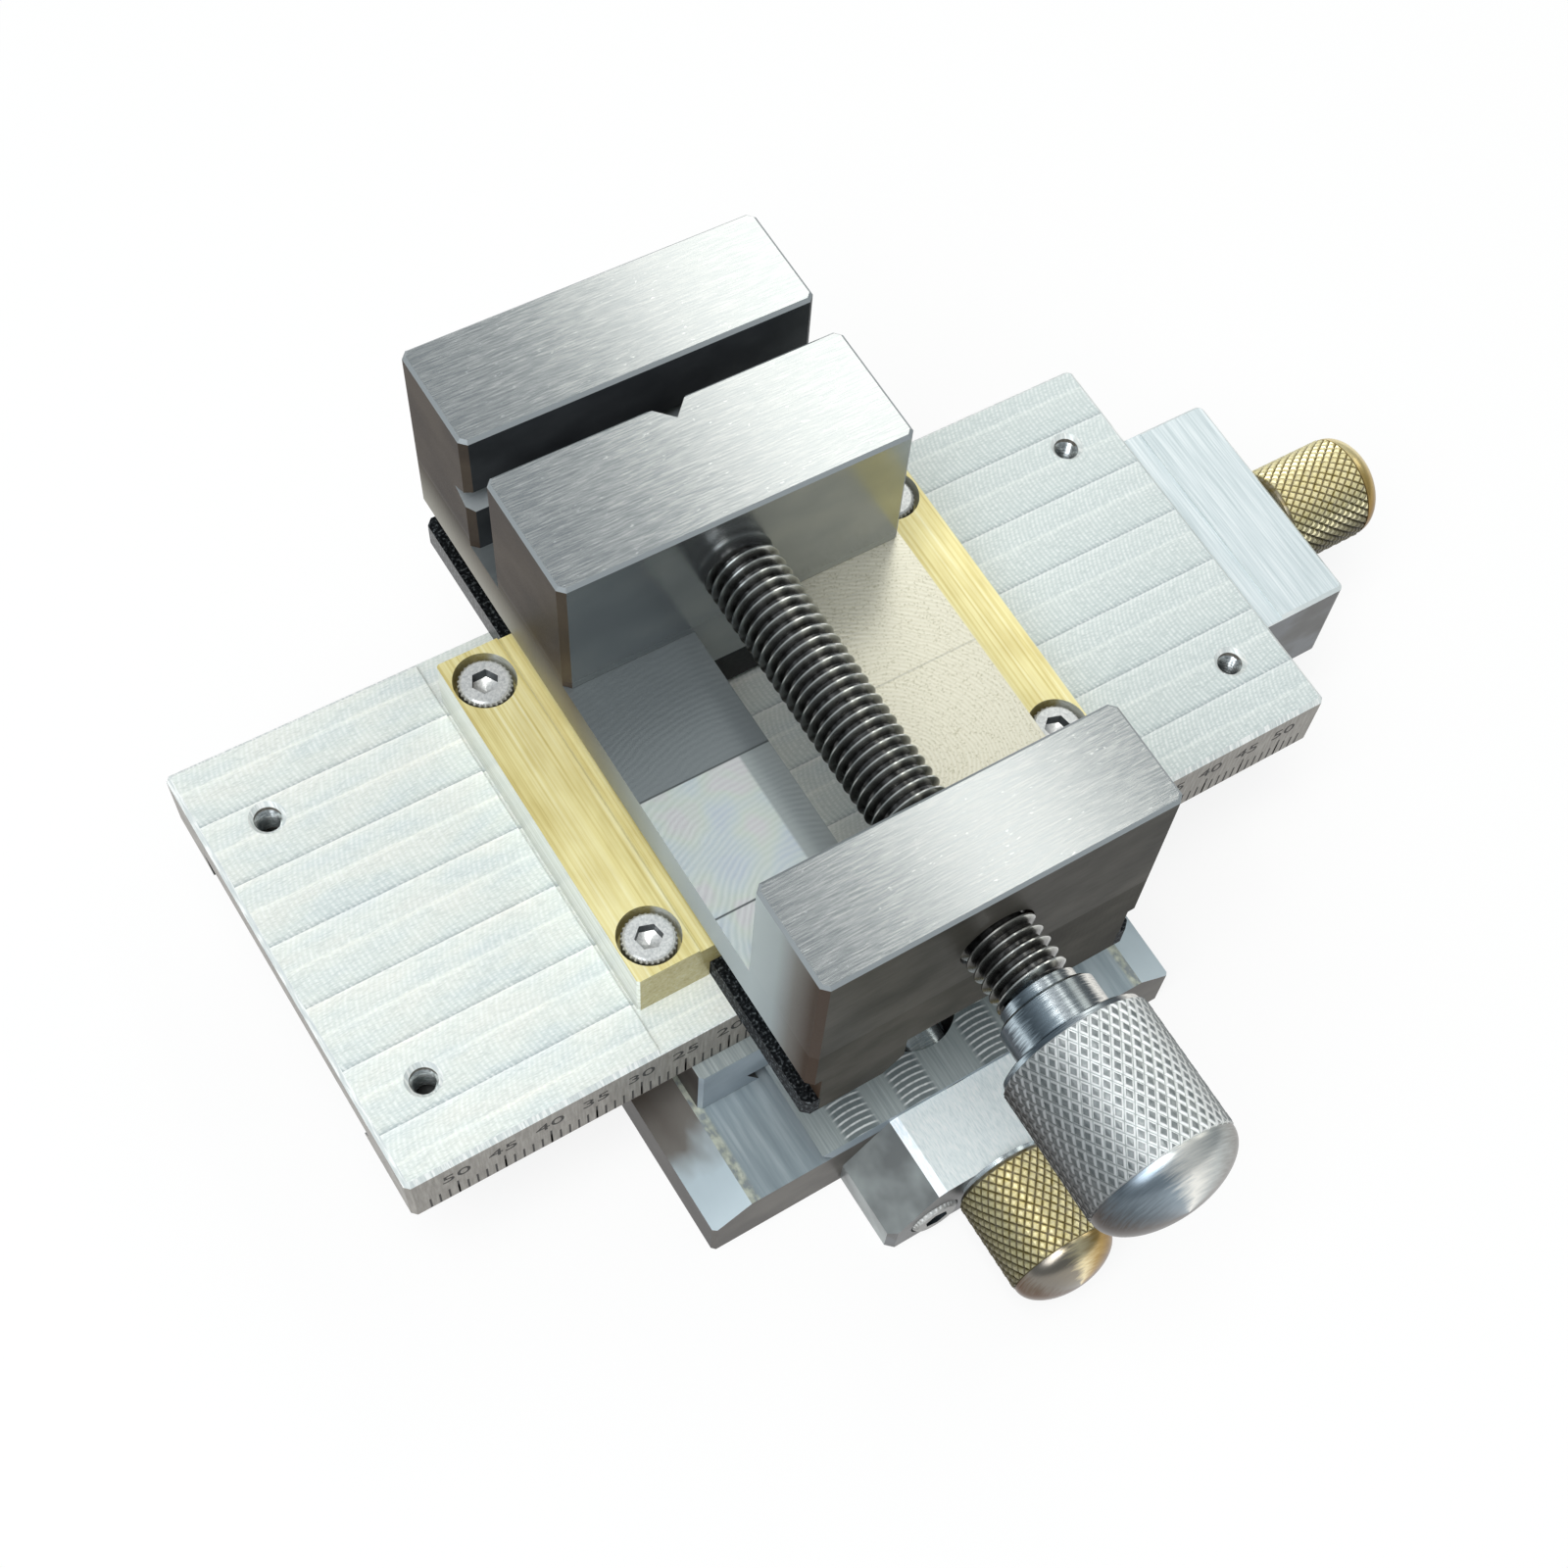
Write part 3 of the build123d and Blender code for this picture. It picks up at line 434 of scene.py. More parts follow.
def make_vise_steel():
    """Ground tops, milled bed, sawn sides and a black flange in one material."""
    material, tree, shader, place = new_metal("ground tool steel", 0.28, 1.0)
    shader.inputs["Specular IOR Level"].default_value = DARK_SPECULAR
    x, y, z = add(tree, "SeparateXYZ", place).outputs
    side, front, up = face_direction(tree)
    streaks = stretched_noise(tree, place, (0.5, 8.0, 8.0), 3.0)
    nicks = stretched_noise(tree, place, (1.4, 3.0, 3.0), 2.0)
    cloud = stretched_noise(tree, place, (0.10, 0.10, 0.16), 4.0)
    scale = stretched_noise(tree, place, (3.0, 3.0, 3.0), 4.0)

    wobble = product(tree, cloud, 3.0)
    swirl = arcs(tree, x, y, SWIRL_CENTRE, SWIRL_SPACING, wobble)
    turns = arcs(tree, x, y, TURN_CENTRE, TURN_SPACING, wobble)
    on_bed = add(tree, "Math", z, BED_TOP + 1.0, operation="LESS_THAN")
    slanted = add(tree, "MapRange", up, 0.85, 0.95, 1.0, 0.0)
    ground = add(tree, "ValToRGB", streaks, stops=[
        (0.30, "#C3C8C9"), (0.46, "#CED2D2"), (0.58, "#D8DBDA"), (0.72, "#E6E8E6"),
    ])
    level = layered(
        tree, ground, (add(tree, "MapRange", nicks, 0.70, 0.74), linear("#F4F6F4")),
        (on_bed, bed_colour(tree, place, x, y, swirl, turns)), (slanted, linear("#8F9597")),
    )

    jaw_face = add(tree, "MapRange", front, -0.9, -0.8, 1.0, 0.0)
    jaw_face = product(tree, jaw_face, within(tree, y, JAW_ZONE, JAW_MIDDLE, 0.5))
    # the foot of the left side mirrors more and is painted brighter, as a reflection
    foot = add(tree, "MapRange", side, -0.9, -0.8, 1.0, 0.0)
    low_down = add(tree, "MapRange", z, 30.0, 40.0, 1.0, 0.0)
    foot = product(tree, foot, low_down, add(tree, "MapRange", y, -8.0, 10.0))
    mirrored = add(tree, "Math", jaw_face, foot, operation="MAXIMUM")
    black = add(tree, "ValToRGB", scale, stops=[(0.40, "#16181A"), (0.55, "#2B2E31"), (0.66, "#6A6F72")])
    from_middle = add(tree, "Math", x, operation="ABSOLUTE")
    far_out = add(tree, "Math", from_middle, FLANGE_IN, operation="GREATER_THAN")
    on_flange = product(tree, far_out, add(tree, "Math", z, FLANGE_TOP, operation="LESS_THAN"))
    upright = upright_colour(tree, cloud, y, side, front, foot)
    faces_up = add(tree, "MapRange", up, 0.35, 0.55)
    colour = layered(tree, upright, (faces_up, level), (on_flange, black))
    feed(tree, colour, shader.inputs["Base Color"])

    shine = add(tree, "MapRange", up, 0.85, 0.95, 0.15, 1.0)
    shine = add(tree, "Math", shine, product(tree, on_bed, 0.25), operation="SUBTRACT")
    shine = add(tree, "Math", shine, product(tree, mirrored, 0.9), operation="MAXIMUM")
    feed(tree, shine, shader.inputs["Metallic"])
    dull = add(tree, "MapRange", streaks, 0.3, 0.7, 0.18, 0.25)
    dull = add(tree, "Math", dull, product(tree, on_bed, 0.12), operation="ADD")
    upright_dull = add(tree, "MapRange", up, 0.35, 0.55, 0.25, 0.0)
    upright_dull = add(tree, "Math", upright_dull, product(tree, mirrored, 0.25), operation="SUBTRACT")
    feed(tree, add(tree, "Math", dull, upright_dull, operation="ADD"), shader.inputs["Roughness"])
    ridges = product(tree, on_bed, add(tree, "MapRange", swirl, -1.0, 1.0, 0.0, 2.0))
    roughen(tree, shader, add(tree, "Math", ridges, streaks, operation="ADD"), 0.0025)
    return material


ground_steel = make_vise_steel()
print("steel of the vise, black below", FLANGE_TOP, "mm at its sides")

# %% [markdown]
# The base and the saddle are steel, milled on top and sawn at their ends. The cutter ran
# along the guide in three narrow passes and left a scalloped stripe in each. The real
# scallops are about 0.55 mm apart, and are drawn 0.75 mm apart to show. The slope beside
# the guide is smooth and carries a painted reflection, bright at the front and dark further
# back, and a bright nicked line parts it from the flat. As on the vise, a low specular level
# and painted shade keep the upright faces dark.

# %% Milled steel of the slides
BASE_FLAT = 8.9
SLOPE_LINE = 24.8
GUIDE_STRIPES = (-11.5, -4.2, 5.4)
STRIPE_HALF = 1.9
STRIPE_BOW = 0.05
SCALLOP_SPACING = 0.75


def guide_colour(tree, x, y, lines, nicks):
    """The top of a guide, with a row of bright arcs along each darker stripe."""
    guide = add(tree, "ValToRGB", lines, stops=spread(("#97A1A3", "#A6AFAF", "#B5BEBE"), 0.30, 0.70))
    for middle in GUIDE_STRIPES:
        off = add(tree, "Math", x, middle, operation="SUBTRACT")
        bowed = add(tree, "Math", y, product(tree, off, off, STRIPE_BOW), operation="ADD")
        scallops = add(tree, "Math", wave(tree, bowed, SCALLOP_SPACING), nicks, operation="ADD")
        in_stripe = within(tree, off, -STRIPE_HALF, STRIPE_HALF, 0.3)
        crests = product(tree, in_stripe, add(tree, "MapRange", scallops, 0.8, 1.5, 0.0, 0.85))
        stripe = product(tree, in_stripe, 0.75)
        guide = layered(tree, guide, (stripe, linear("#6B7577")), (crests, linear("#FAFDFC")))
    return guide


def make_slide_steel():
    """Milled flats, striped guides, slopes with a painted reflection, and sawn ends and sides darkened by
    painted shade, in one material.
    """
    material, tree, shader, place = new_metal("milled slide steel", 0.34, 0.45)
    shader.inputs["Specular IOR Level"].default_value = DARK_SPECULAR
    x, y, z = add(tree, "SeparateXYZ", place).outputs
    front, up = face_direction(tree)[1:3]
    lines = stretched_noise(tree, place, (5.0, 0.15, 5.0), 4.0)
    broad = stretched_noise(tree, place, (1.1, 0.08, 1.1), 3.0)
    nicks = stretched_noise(tree, place, (1.5, 1.0, 1.5), 4.0)
    cloud = stretched_noise(tree, place, (0.15, 0.10, 0.2), 3.0)
    flat = add(tree, "ValToRGB", broad, stops=spread(("#8A979D", "#98A5AB", "#ADB9BE"), 0.30, 0.70))
    worn = add(tree, "ValToRGB", nicks, stops=spread(("#8C9394", "#B0B5A6", "#CDD1BF"), 0.38, 0.62))
    on_guide = add(tree, "MapRange", z, BASE_FLAT + 0.3, BASE_FLAT + 0.4)
    from_middle = add(tree, "Math", x, operation="ABSOLUTE")
    nicked = within(tree, from_middle, SLOPE_LINE - 1.0, SLOPE_LINE + 0.12, 0.2)
    nicked = product(tree, nicked, add(tree, "MapRange", on_guide, 0.0, 1.0, 0.8, 0.0))
    level = layered(tree, flat, (on_guide, guide_colour(tree, x, y, lines, nicks)), (nicked, worn))
    # painted reflection on the slope: bright at the front, dark further back
    drift = product(tree, add(tree, "Math", cloud, 0.5, operation="SUBTRACT"), 12.0)
    along = add(tree, "MapRange", add(tree, "Math", y, drift, operation="ADD"), -44.0, -14.0)
    slope_reflection = add(tree, "ValToRGB", along, stops=[
        (0.0, "#E2F0F5"), (0.52, "#BECDD3"), (0.66, "#77746F"), (0.90, "#57504A"),
    ])
    upper = layered(tree, slope_reflection, (add(tree, "MapRange", up, 0.90, 0.96), level))
    # painted shade: the sawn ends are coloured dark
    base_ends = add(tree, "ValToRGB", cloud, stops=spread(("#57534F", "#605C57", "#6B6761")))
    saddle_ends = add(tree, "ValToRGB", cloud, stops=spread(("#89949B", "#949FA7", "#9FAAB1")))
    ends = layered(tree, base_ends, (add(tree, "MapRange", z, BASE_FLAT, BASE_FLAT + 0.1), saddle_ends))
    # painted shade: the sides are coloured near black
    sides = add(tree, "ValToRGB", cloud, stops=spread(("#35312E", "#46423E")))
    upright = layered(tree, sides, (looks_minus(tree, front), ends))
    colour = layered(tree, upright, (add(tree, "MapRange", up, 0.35, 0.55), upper))
    feed(tree, colour, shader.inputs["Base Color"])
    feed(tree, add(tree, "MapRange", up, 0.35, 0.55, 0.05, 0.45), shader.inputs["Metallic"])
    roughen(tree, shader, lines, 0.004)
    return material


slide_steel = make_slide_steel()
print("slides with", len(GUIDE_STRIPES), "scalloped stripes along each guide")

# %% [markdown]
# The two bearing blocks are aluminium like the table, fly cut on top: very fine lines, a
# narrow bevel coloured bright as a painted highlight, and sawn sides. The faces that look to
# the front are dark as painted shade, and the slants and sides of the front block are painted
# darker than those of the end block, as shade. Seven lines to the millimetre are as fine as
# the picture can show.


# %% Aluminium of the bearing blocks
def make_block_metal(name, fine_lines, level_codes, painted_slant_codes):
    """Fly cut aluminium: the tones of its top follow its fine lines, those of its slants a cloud. Its
    narrow chamfer has a painted highlight, and its front faces painted shade.
    """
    material, tree, shader, place = new_metal(name, 0.34, 0.25)
    front, up = face_direction(tree)[1:3]
    lines = stretched_noise(tree, place, fine_lines, 4.0)
    cloud = stretched_noise(tree, place, (0.15, 0.15, 0.2), 3.0)
    # painted highlight on the narrow bevel
    bevel_highlight = add(tree, "ValToRGB", lines, stops=spread(("#DDEBF2", "#F9FCFE")))
    level = add(tree, "ValToRGB", lines, stops=spread(level_codes, 0.30, 0.70))
    # slants and sides take the given tones, painted darker on the front block as shade
    slanted = add(tree, "ValToRGB", cloud, stops=spread(painted_slant_codes))
    # painted shade on the faces that look to the front
    ends = add(tree, "ValToRGB", cloud, stops=spread(("#3B3B39", "#4B4C4B", "#62666A")))
    on_slant = add(tree, "MapRange", up, 0.75, 0.90, 1.0, 0.0)
    upper = layered(tree, bevel_highlight, (add(tree, "MapRange", up, 0.975, 0.99), level), (on_slant, slanted))
    upright = layered(tree, slanted, (looks_minus(tree, front), ends))
    colour = layered(tree, upright, (add(tree, "MapRange", up, 0.30, 0.45), upper))
    feed(tree, colour, shader.inputs["Base Color"])
    roughen(tree, shader, lines, 0.006)
    return material


front_block_metal = make_block_metal(
    "fly cut aluminium", (7.0, 1.2, 7.0),
    ("#DAE5E6", "#EBF4F4", "#F8FCFB"), ("#6F7373", "#9AA1A0"),
)
end_block_metal = make_block_metal(
    "fly cut aluminium, lengthwise", (4.0, 0.10, 4.0),
    ("#BFCBCD", "#D2DCDE", "#E4EBEC"), ("#D2DBDA", "#EAEFED"),
)
print("bearing blocks in", front_block_metal.name, "and", end_block_metal.name)

# %% [markdown]
# The two clamp strips are brass bar, drawn and then faced: long fine lines run their
# whole length. Cut brass is pale and scatters light, so it has part of its look from
# diffuse light. Its sawn ends are a little darker, and its left side is painted pale grey
# as a reflection.


# %% Brass of the clamp strips
def make_strip_brass():
    """Fine lines along Y, a painted pale reflection on the left side, and darker ends."""
    material, tree, shader, place = new_metal("drawn brass", 0.30, 0.25)
    side, front = face_direction(tree)[0:2]
    lines = stretched_noise(tree, place, (3.2, 0.03, 3.2), 5.0)
    cloud = stretched_noise(tree, place, (0.5, 0.15, 0.5), 3.0)
    codes = ("#DACA84", "#EEE2A0", "#F7EEB6", "#FCF8D6")
    tone = add(tree, "ValToRGB", lines, stops=spread(codes, 0.30, 0.75))
    tarnish = add(tree, "ValToRGB", cloud, stops=spread(("#EFEBDF", "#FFFFFF"), 0.3, 0.6))
    tone = add(tree, "Mix", 1.0, tone, tarnish, **TINT)
    sawn = add(tree, "Mix", 1.0, tone, linear("#C9C7C5"), **TINT)
    # painted reflection: the left side is coloured pale grey
    flank_reflection = add(tree, "ValToRGB", lines, stops=spread(("#D0D3C4", "#E6E9DE", "#F6F8F2"), 0.30, 0.70))
    on_end = add(tree, "MapRange", add(tree, "Math", front, operation="ABSOLUTE"), 0.5, 0.7)
    colour = layered(tree, tone, (on_end, sawn), (looks_minus(tree, side), flank_reflection))
    feed(tree, colour, shader.inputs["Base Color"])
    roughen(tree, shader, lines, 0.012)
    return material


strip_brass = make_strip_brass()
print(strip_brass.name, "ready")

# %% [markdown]
# The small pieces share one recipe: two tones over a fine grain, which also gives the
# surface its unevenness. Turned steel has its rings round Y, and cast bronze the widest
# grain. What sets the metals apart for the eye is their tone, how rough they are and how
# much of their look is a reflection. Upright faces can take a second, darker tone as
# painted shade, which the stainless steel has.


# %% Plain metals
def make_plain_metal(name, codes, roughness, stretch, depth, metallic=1.0, upright="#FFFFFF"):
    """A metal with a fine grain in tone and height. Its upright faces take a second tone, which darkens
    them as painted shade.
    """
    material, tree, shader, place = new_metal(name, roughness, metallic)
    grain = stretched_noise(tree, place, stretch)
    up = add(tree, "MapRange", face_direction(tree)[2], 0.0, 0.8)
    shade = layered(tree, linear(upright), (up, linear("#FFFFFF")))
    tone = add(tree, "ValToRGB", grain, stops=spread(codes, 0.3, 0.7))
    feed(tree, add(tree, "Mix", 1.0, tone, shade, **TINT), shader.inputs["Base Color"])
    roughen(tree, shader, grain, depth)
    return material


turned_steel = make_plain_metal(
    "turned steel", ("#B3C0C5", "#E2EBEE"), 0.26, (0.4, 9.0, 0.4), 0.004, 0.8)
# painted shade: the upright faces of the stainless screws are darker
stainless = make_plain_metal(
    "stainless steel", ("#C6C9C8", "#EFF0ED"), 0.28, (4.0, 4.0, 4.0), 0.006, 0.4, "#8C8B88")
# painted shade: the walls of the hexagon sockets are coloured dark
socket_shade = make_plain_metal(
    "shaded socket wall", ("#22282B", "#3C454A"), 0.35, (3.0, 3.0, 3.0), 0.0, 0.5)
tapped_aluminium = make_plain_metal(
    "tapped aluminium", ("#9AA1A2", "#E2E7E6"), 0.22, (3.0, 3.0, 3.0), 0.0, 0.9)
# a near black steel for the keeper and the gibs
near_black_steel = make_plain_metal("near black steel", ("#1A1B1D", "#2C2E30"), 0.42, (2.0, 2.0, 2.0), 0.01)
bronze = make_plain_metal("cast bronze", ("#8A6334", "#B4874E"), 0.38, (1.2, 1.2, 1.2), 0.02)
print("plain metals ready:", turned_steel.name, "and", bronze.name, "among them")

# %% [markdown]
# A knurl or a thread is painted bright on its crests as a highlight, and dark in its grooves
# as shade. On a round piece the groove is simply what lies nearer to the axis, so the distance
# from the axis chooses the tone. On the steel knob the flats that the wheels leave on the crests
# are coloured darker than the slopes beside them. A round piece of bright metal is also light on
# top and dark below, so the angle round the axis shades it.

# %% Metals of knurls and threads
GRIP_RADIUS = 7.75
KNURL_DEPTH = 0.34
SLIDE_RADIUS = 6.0
SLIDE_DEPTH = 0.30
THREAD_RADIUS = 3.95
VISE_PITCH = 1.25
THREAD_DEPTH = 0.6 * VISE_PITCH
ROUND_SHADE = [
    (0.05, "#443D38"), (0.25, "#5E5C5A"), (0.36, "#B4B7B8"), (0.45, "#FFFFFF"), (0.60, "#FAFAF8"),
    (0.78, "#9C9D9C"), (0.95, "#443D38"),
]


def middle_of(node):
    """The middle of a node's box in millimetres."""
    return [(low + high) / 2 / MM for low, high in zip(*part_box(node))]


def distance_from_axis(tree, place, node, axis):
    """How far a point lies from a node's axis."""
    centre = middle_of(node)
    squares = 0.0
    for number, value in enumerate(add(tree, "SeparateXYZ", place).outputs):
        if number != axis:
            off = add(tree, "Math", value, centre[number], operation="SUBTRACT")
            squares = add(tree, "Math", product(tree, off, off), squares, operation="ADD")
    return add(tree, "Math", squares, operation="SQRT")


def angle_round(tree, place, node, axis):
    """The angle round a node's axis as 0 to 1: 0.25 on the near side, 0.5 on top, 0.75 beyond."""
    centre = middle_of(node)
    across = 0 if axis == 1 else 1
    where = add(tree, "SeparateXYZ", place).outputs
    sideways = add(tree, "Math", where[across], centre[across], operation="SUBTRACT")
    height = add(tree, "Math", where[2], centre[2], operation="SUBTRACT")
    angle = add(tree, "Math", sideways, height, operation="ARCTAN2")
    return add(tree, "MapRange", angle, -math.pi, math.pi)


def make_round_metal(name, node, axis, root, crest, stops, roughness, metallic):
    """A metal whose tone follows the distance from the axis of a node, from root to crest, with painted
    shade at the root and painted highlights nearer the crest; the angle round the axis adds painted light
    and shade.
    """
    material, tree, shader, place = new_metal(name, roughness, metallic)
    depth = add(tree, "MapRange", distance_from_axis(tree, place, node, axis), root, crest)
    grain = stretched_noise(tree, place, (1.5, 1.5, 1.5))
    glints = add(tree, "MapRange", grain, 0.3, 0.7, 0.0, 0.18)
    tone = layered(tree, add(tree, "ValToRGB", depth, stops=stops), (glints, linear("#FFFFFF")))
    shade = add(tree, "ValToRGB", angle_round(tree, place, node, axis), stops=ROUND_SHADE)
    feed(tree, add(tree, "Mix", 1.0, tone, shade, **TINT), shader.inputs["Base Color"])
    return material


# root to crest: darker roots as painted shade, brighter slopes and crests as painted highlights; the steel
# knob's crest flats are coloured darker
STEEL_STOPS = [(0.0, "#B4BAB9"), (0.25, "#F8FBFA"), (0.60, "#FFFFFF"), (0.88, "#868E8E"), (1.0, "#646C6D")]
BRASS_STOPS = [(0.0, "#665827"), (0.25, "#9A8843"), (0.6, "#FFF4BC"), (0.88, "#FAEDB2"), (1.0, "#EFE0A0")]
THREAD_STOPS = [(0.0, "#242320"), (0.45, "#5C5B56"), (0.85, "#AEB0AA"), (1.0, "#E6E8E4")]
vise_root = GRIP_RADIUS - KNURL_DEPTH
slide_root = SLIDE_RADIUS - SLIDE_DEPTH
knurled_steel = make_round_metal(
    "knurled steel", "vise_knob", 1, vise_root, GRIP_RADIUS, STEEL_STOPS, 0.34, 0.45)
knurled_brass = {
    side: make_round_metal(name, side + "_knob", axis, slide_root, SLIDE_RADIUS, BRASS_STOPS, 0.34, 0.35)
    for side, name, axis in (("y", "knurled brass", 1), ("x", "knurled brass, right", 0))
}
thread_root = THREAD_RADIUS - THREAD_DEPTH
thread_steel = make_round_metal(
    "threaded steel", "vise_screw", 1, thread_root, THREAD_RADIUS, THREAD_STOPS, 0.20, 0.9)
print(knurled_steel.name, "from", round(vise_root, 2), "to", GRIP_RADIUS, "mm off its axis")

# %% [markdown]
# Domes and collars are turned and then polished, which leaves fine rings. A polished round
# piece mirrors the whole room in narrow bright and dark streaks that run along its axis.
# They depend on the angle round the axis alone, so one colour ramp over that angle draws
# them.


# %% Metals of domes and collars
def make_turned_metal(name, node, axis, stops, roughness, metallic, depth=0.003):
    """Turned and polished: fine rings, and a painted bright streak and painted dark sides, as reflections,
    that run along the axis.
    """
    material, tree, shader, place = new_metal(name, roughness, metallic)
    stretch = [0.5, 0.5, 0.5]
    stretch[axis] = 7.0
    rings = stretched_noise(tree, place, stretch, 3.0)
    blur = add(tree, "MapRange", rings, 0.3, 0.7, -0.02, 0.02)
    turn = add(tree, "Math", angle_round(tree, place, node, axis), blur, operation="ADD")
    feed(tree, add(tree, "ValToRGB", turn, stops=stops), shader.inputs["Base Color"])
    roughen(tree, shader, rings, depth)
    return material


polished_steel = make_turned_metal("polished steel", "vise_knob", 1, [
    (0.05, "#2E2621"), (0.26, "#3A3029"), (0.34, "#5C666D"), (0.44, "#8E9BA4"), (0.50, "#F2F1EA"),
    (0.58, "#B9BDBB"), (0.66, "#807D78"), (0.80, "#48443F"), (0.95, "#2E2621"),
], 0.30, 0.8)
collar_steel = make_turned_metal("turned collar steel", "vise_knob", 1, [
    (0.10, "#303337"), (0.29, "#4A5259"), (0.34, "#C0D0D9"), (0.38, "#6A767E"), (0.44, "#84929B"),
    (0.48, "#E6EEF2"), (0.52, "#98A1A5"), (0.58, "#7B8083"), (0.62, "#EAE8E1"), (0.67, "#94948F"),
    (0.76, "#65635F"), (0.90, "#303337"),
], 0.24, 1.0, 0.001)
polished_brass = {
    "y": make_turned_metal("polished brass", "y_knob", 1, [
        (0.10, "#40260F"), (0.26, "#553A20"), (0.35, "#858078"), (0.46, "#948D80"), (0.51, "#F2E3B8"),
        (0.58, "#B3965D"), (0.70, "#6E4E28"), (0.90, "#40260F"),
    ], 0.28, 1.0),
    "x": make_turned_metal("polished brass, right", "x_knob", 0, [
        (0.10, "#4A3014"), (0.28, "#8A6A34"), (0.42, "#B89E5E"), (0.55, "#F2E3AE"), (0.70, "#C5AC68"),
        (0.90, "#4A3014"),
    ], 0.30, 0.7),
}
print(len(bpy.data.materials), "materials")

# %% [markdown]
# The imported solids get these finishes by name. Their shapes and places are left alone.

# %% Finish of each solid
finishes = {
    milled_aluminium: ["table"],
    ground_steel: ["vise_body", "moving_jaw"],
    slide_steel: ["base_plate", "saddle"],
    front_block_metal: ["y_bearing_block"],
    end_block_metal: ["x_end_block"],
    strip_brass: ["left_clamp_strip", "right_clamp_strip"],
    near_black_steel: ["jaw_keeper", "y_gib", "x_gib"],
    bronze: ["x_nut", "y_nut"],
    knurled_brass["y"]: ["y_knob"],
    knurled_brass["x"]: ["x_knob"],
    turned_steel: ["y_thrust_washer", "x_thrust_washer", "y_lead_screw", "x_lead_screw", "vise_screw"],
    knurled_steel: ["vise_knob"],
    stainless: [name for name in nodes if "screws" in name or "grub" in name or "pins" in name],
}
for material, names in finishes.items():
    for name in names:
        nodes[name].data.materials.clear()
        nodes[name].data.materials.append(material)
undressed = set(nodes) - {name for names in finishes.values() for name in names}
print("solids without a finish:", sorted(undressed))

# %% [markdown]
# A turned piece is a circle, extruded ring by ring and scaled at each step, as a lathe
# would step down a bar.


# %% Turning
def turn_piece(name, steps, sides=96):
    """A solid of revolution along +Z through (radius, height) steps in millimetres."""
    radius, height = steps[0]
    start_piece()
    bpy.ops.mesh.primitive_circle_add(
        vertices=sides, radius=radius * MM, fill_type="NGON", location=(0, 0, height * MM)
    )
    piece = bpy.context.object
    piece.name = name
    bpy.ops.object.transform_apply(location=True, rotation=True, scale=True)
    bpy.ops.object.mode_set(mode="EDIT")
    for new_radius, new_height in steps[1:]:
        rise = (0, 0, (new_height - height) * MM)
        bpy.ops.mesh.extrude_region_move(TRANSFORM_OT_translate={"value": rise})
        ratio = new_radius / radius
        bpy.ops.transform.resize(value=(ratio, ratio, 1), center_override=(0, 0, new_height * MM))
        radius, height = new_radius, new_height
    bpy.ops.object.mode_set(mode="OBJECT")
    close_mesh(piece)
    bpy.ops.object.shade_smooth_by_angle(angle=math.radians(30))
    return piece


# %% [markdown]
# A knurl is pressed by two wheels whose ridges lean opposite ways, which leaves rows of
# staggered diamonds. A grid on a cylinder gives the same lattice: each face gets a centre
# point, the old edges are dissolved, and what is left is diamonds. Each one is inset and
# pushed out, which makes a pad with sloping sides.


# %% Knurling
SAME = 1e-7


def is_upright(a, b):
    """True where an edge runs along Z. SAME is the distance that counts as none, in metres."""
    return abs(a.x - b.x) < SAME and abs(a.y - b.y) < SAME


def same_radius(a, b):
    return abs(math.hypot(a.x, a.y) - math.hypot(b.x, b.y)) < SAME


def select_edges(piece, wanted):
    """Selects the edges whose two ends pass a test, for edit mode."""
    mesh = piece.data
    only(piece)
    bpy.ops.object.mode_set(mode="EDIT")
    bpy.ops.mesh.select_mode(type="EDGE")
    bpy.ops.mesh.select_all(action="DESELECT")
    bpy.ops.object.mode_set(mode="OBJECT")
    for edge in mesh.edges:
        a, b = (mesh.vertices[i].co for i in edge.vertices)
        edge.select = wanted(a, b)


def knurl_sleeve(name, radius, length, around, along, depth, inset):
    """A knurled sleeve along +Z from the XY plane. Its first and last rows are half diamonds."""
    root = radius - depth
    start_piece()
    bpy.ops.mesh.primitive_cylinder_add(
        vertices=around, radius=root * MM, depth=length * MM, end_fill_type="NOTHING",
        location=(0, 0, length / 2 * MM),
    )
    piece = bpy.context.object
    piece.name = name
    bpy.ops.object.transform_apply(location=True, rotation=True, scale=True)
    select_edges(piece, is_upright)
    bpy.ops.object.mode_set(mode="EDIT")
    bpy.ops.mesh.subdivide(number_cuts=along - 1)
    bpy.ops.mesh.select_all(action="SELECT")
    bpy.ops.mesh.poke()
    bpy.ops.object.mode_set(mode="OBJECT")

    def was_grid(a, b):
        if abs(a.z - b.z) < SAME:
            return 0.001 * MM < a.z < (length - 0.001) * MM and same_radius(a, b)
        return is_upright(a, b)

    select_edges(piece, was_grid)
    bpy.ops.object.mode_set(mode="EDIT")
    bpy.ops.mesh.dissolve_edges(use_verts=False)
    bpy.ops.mesh.select_all(action="SELECT")
    bpy.ops.mesh.inset(thickness=inset * MM, use_individual=True, use_even_offset=True)
    bpy.ops.transform.shrink_fatten(value=depth * MM)
    bpy.ops.object.mode_set(mode="OBJECT")
    print(name, len(piece.data.polygons), "faces")
    return piece


# %% [markdown]
# The domed end of a knob is half of a flattened sphere, cut at its widest ring and closed.


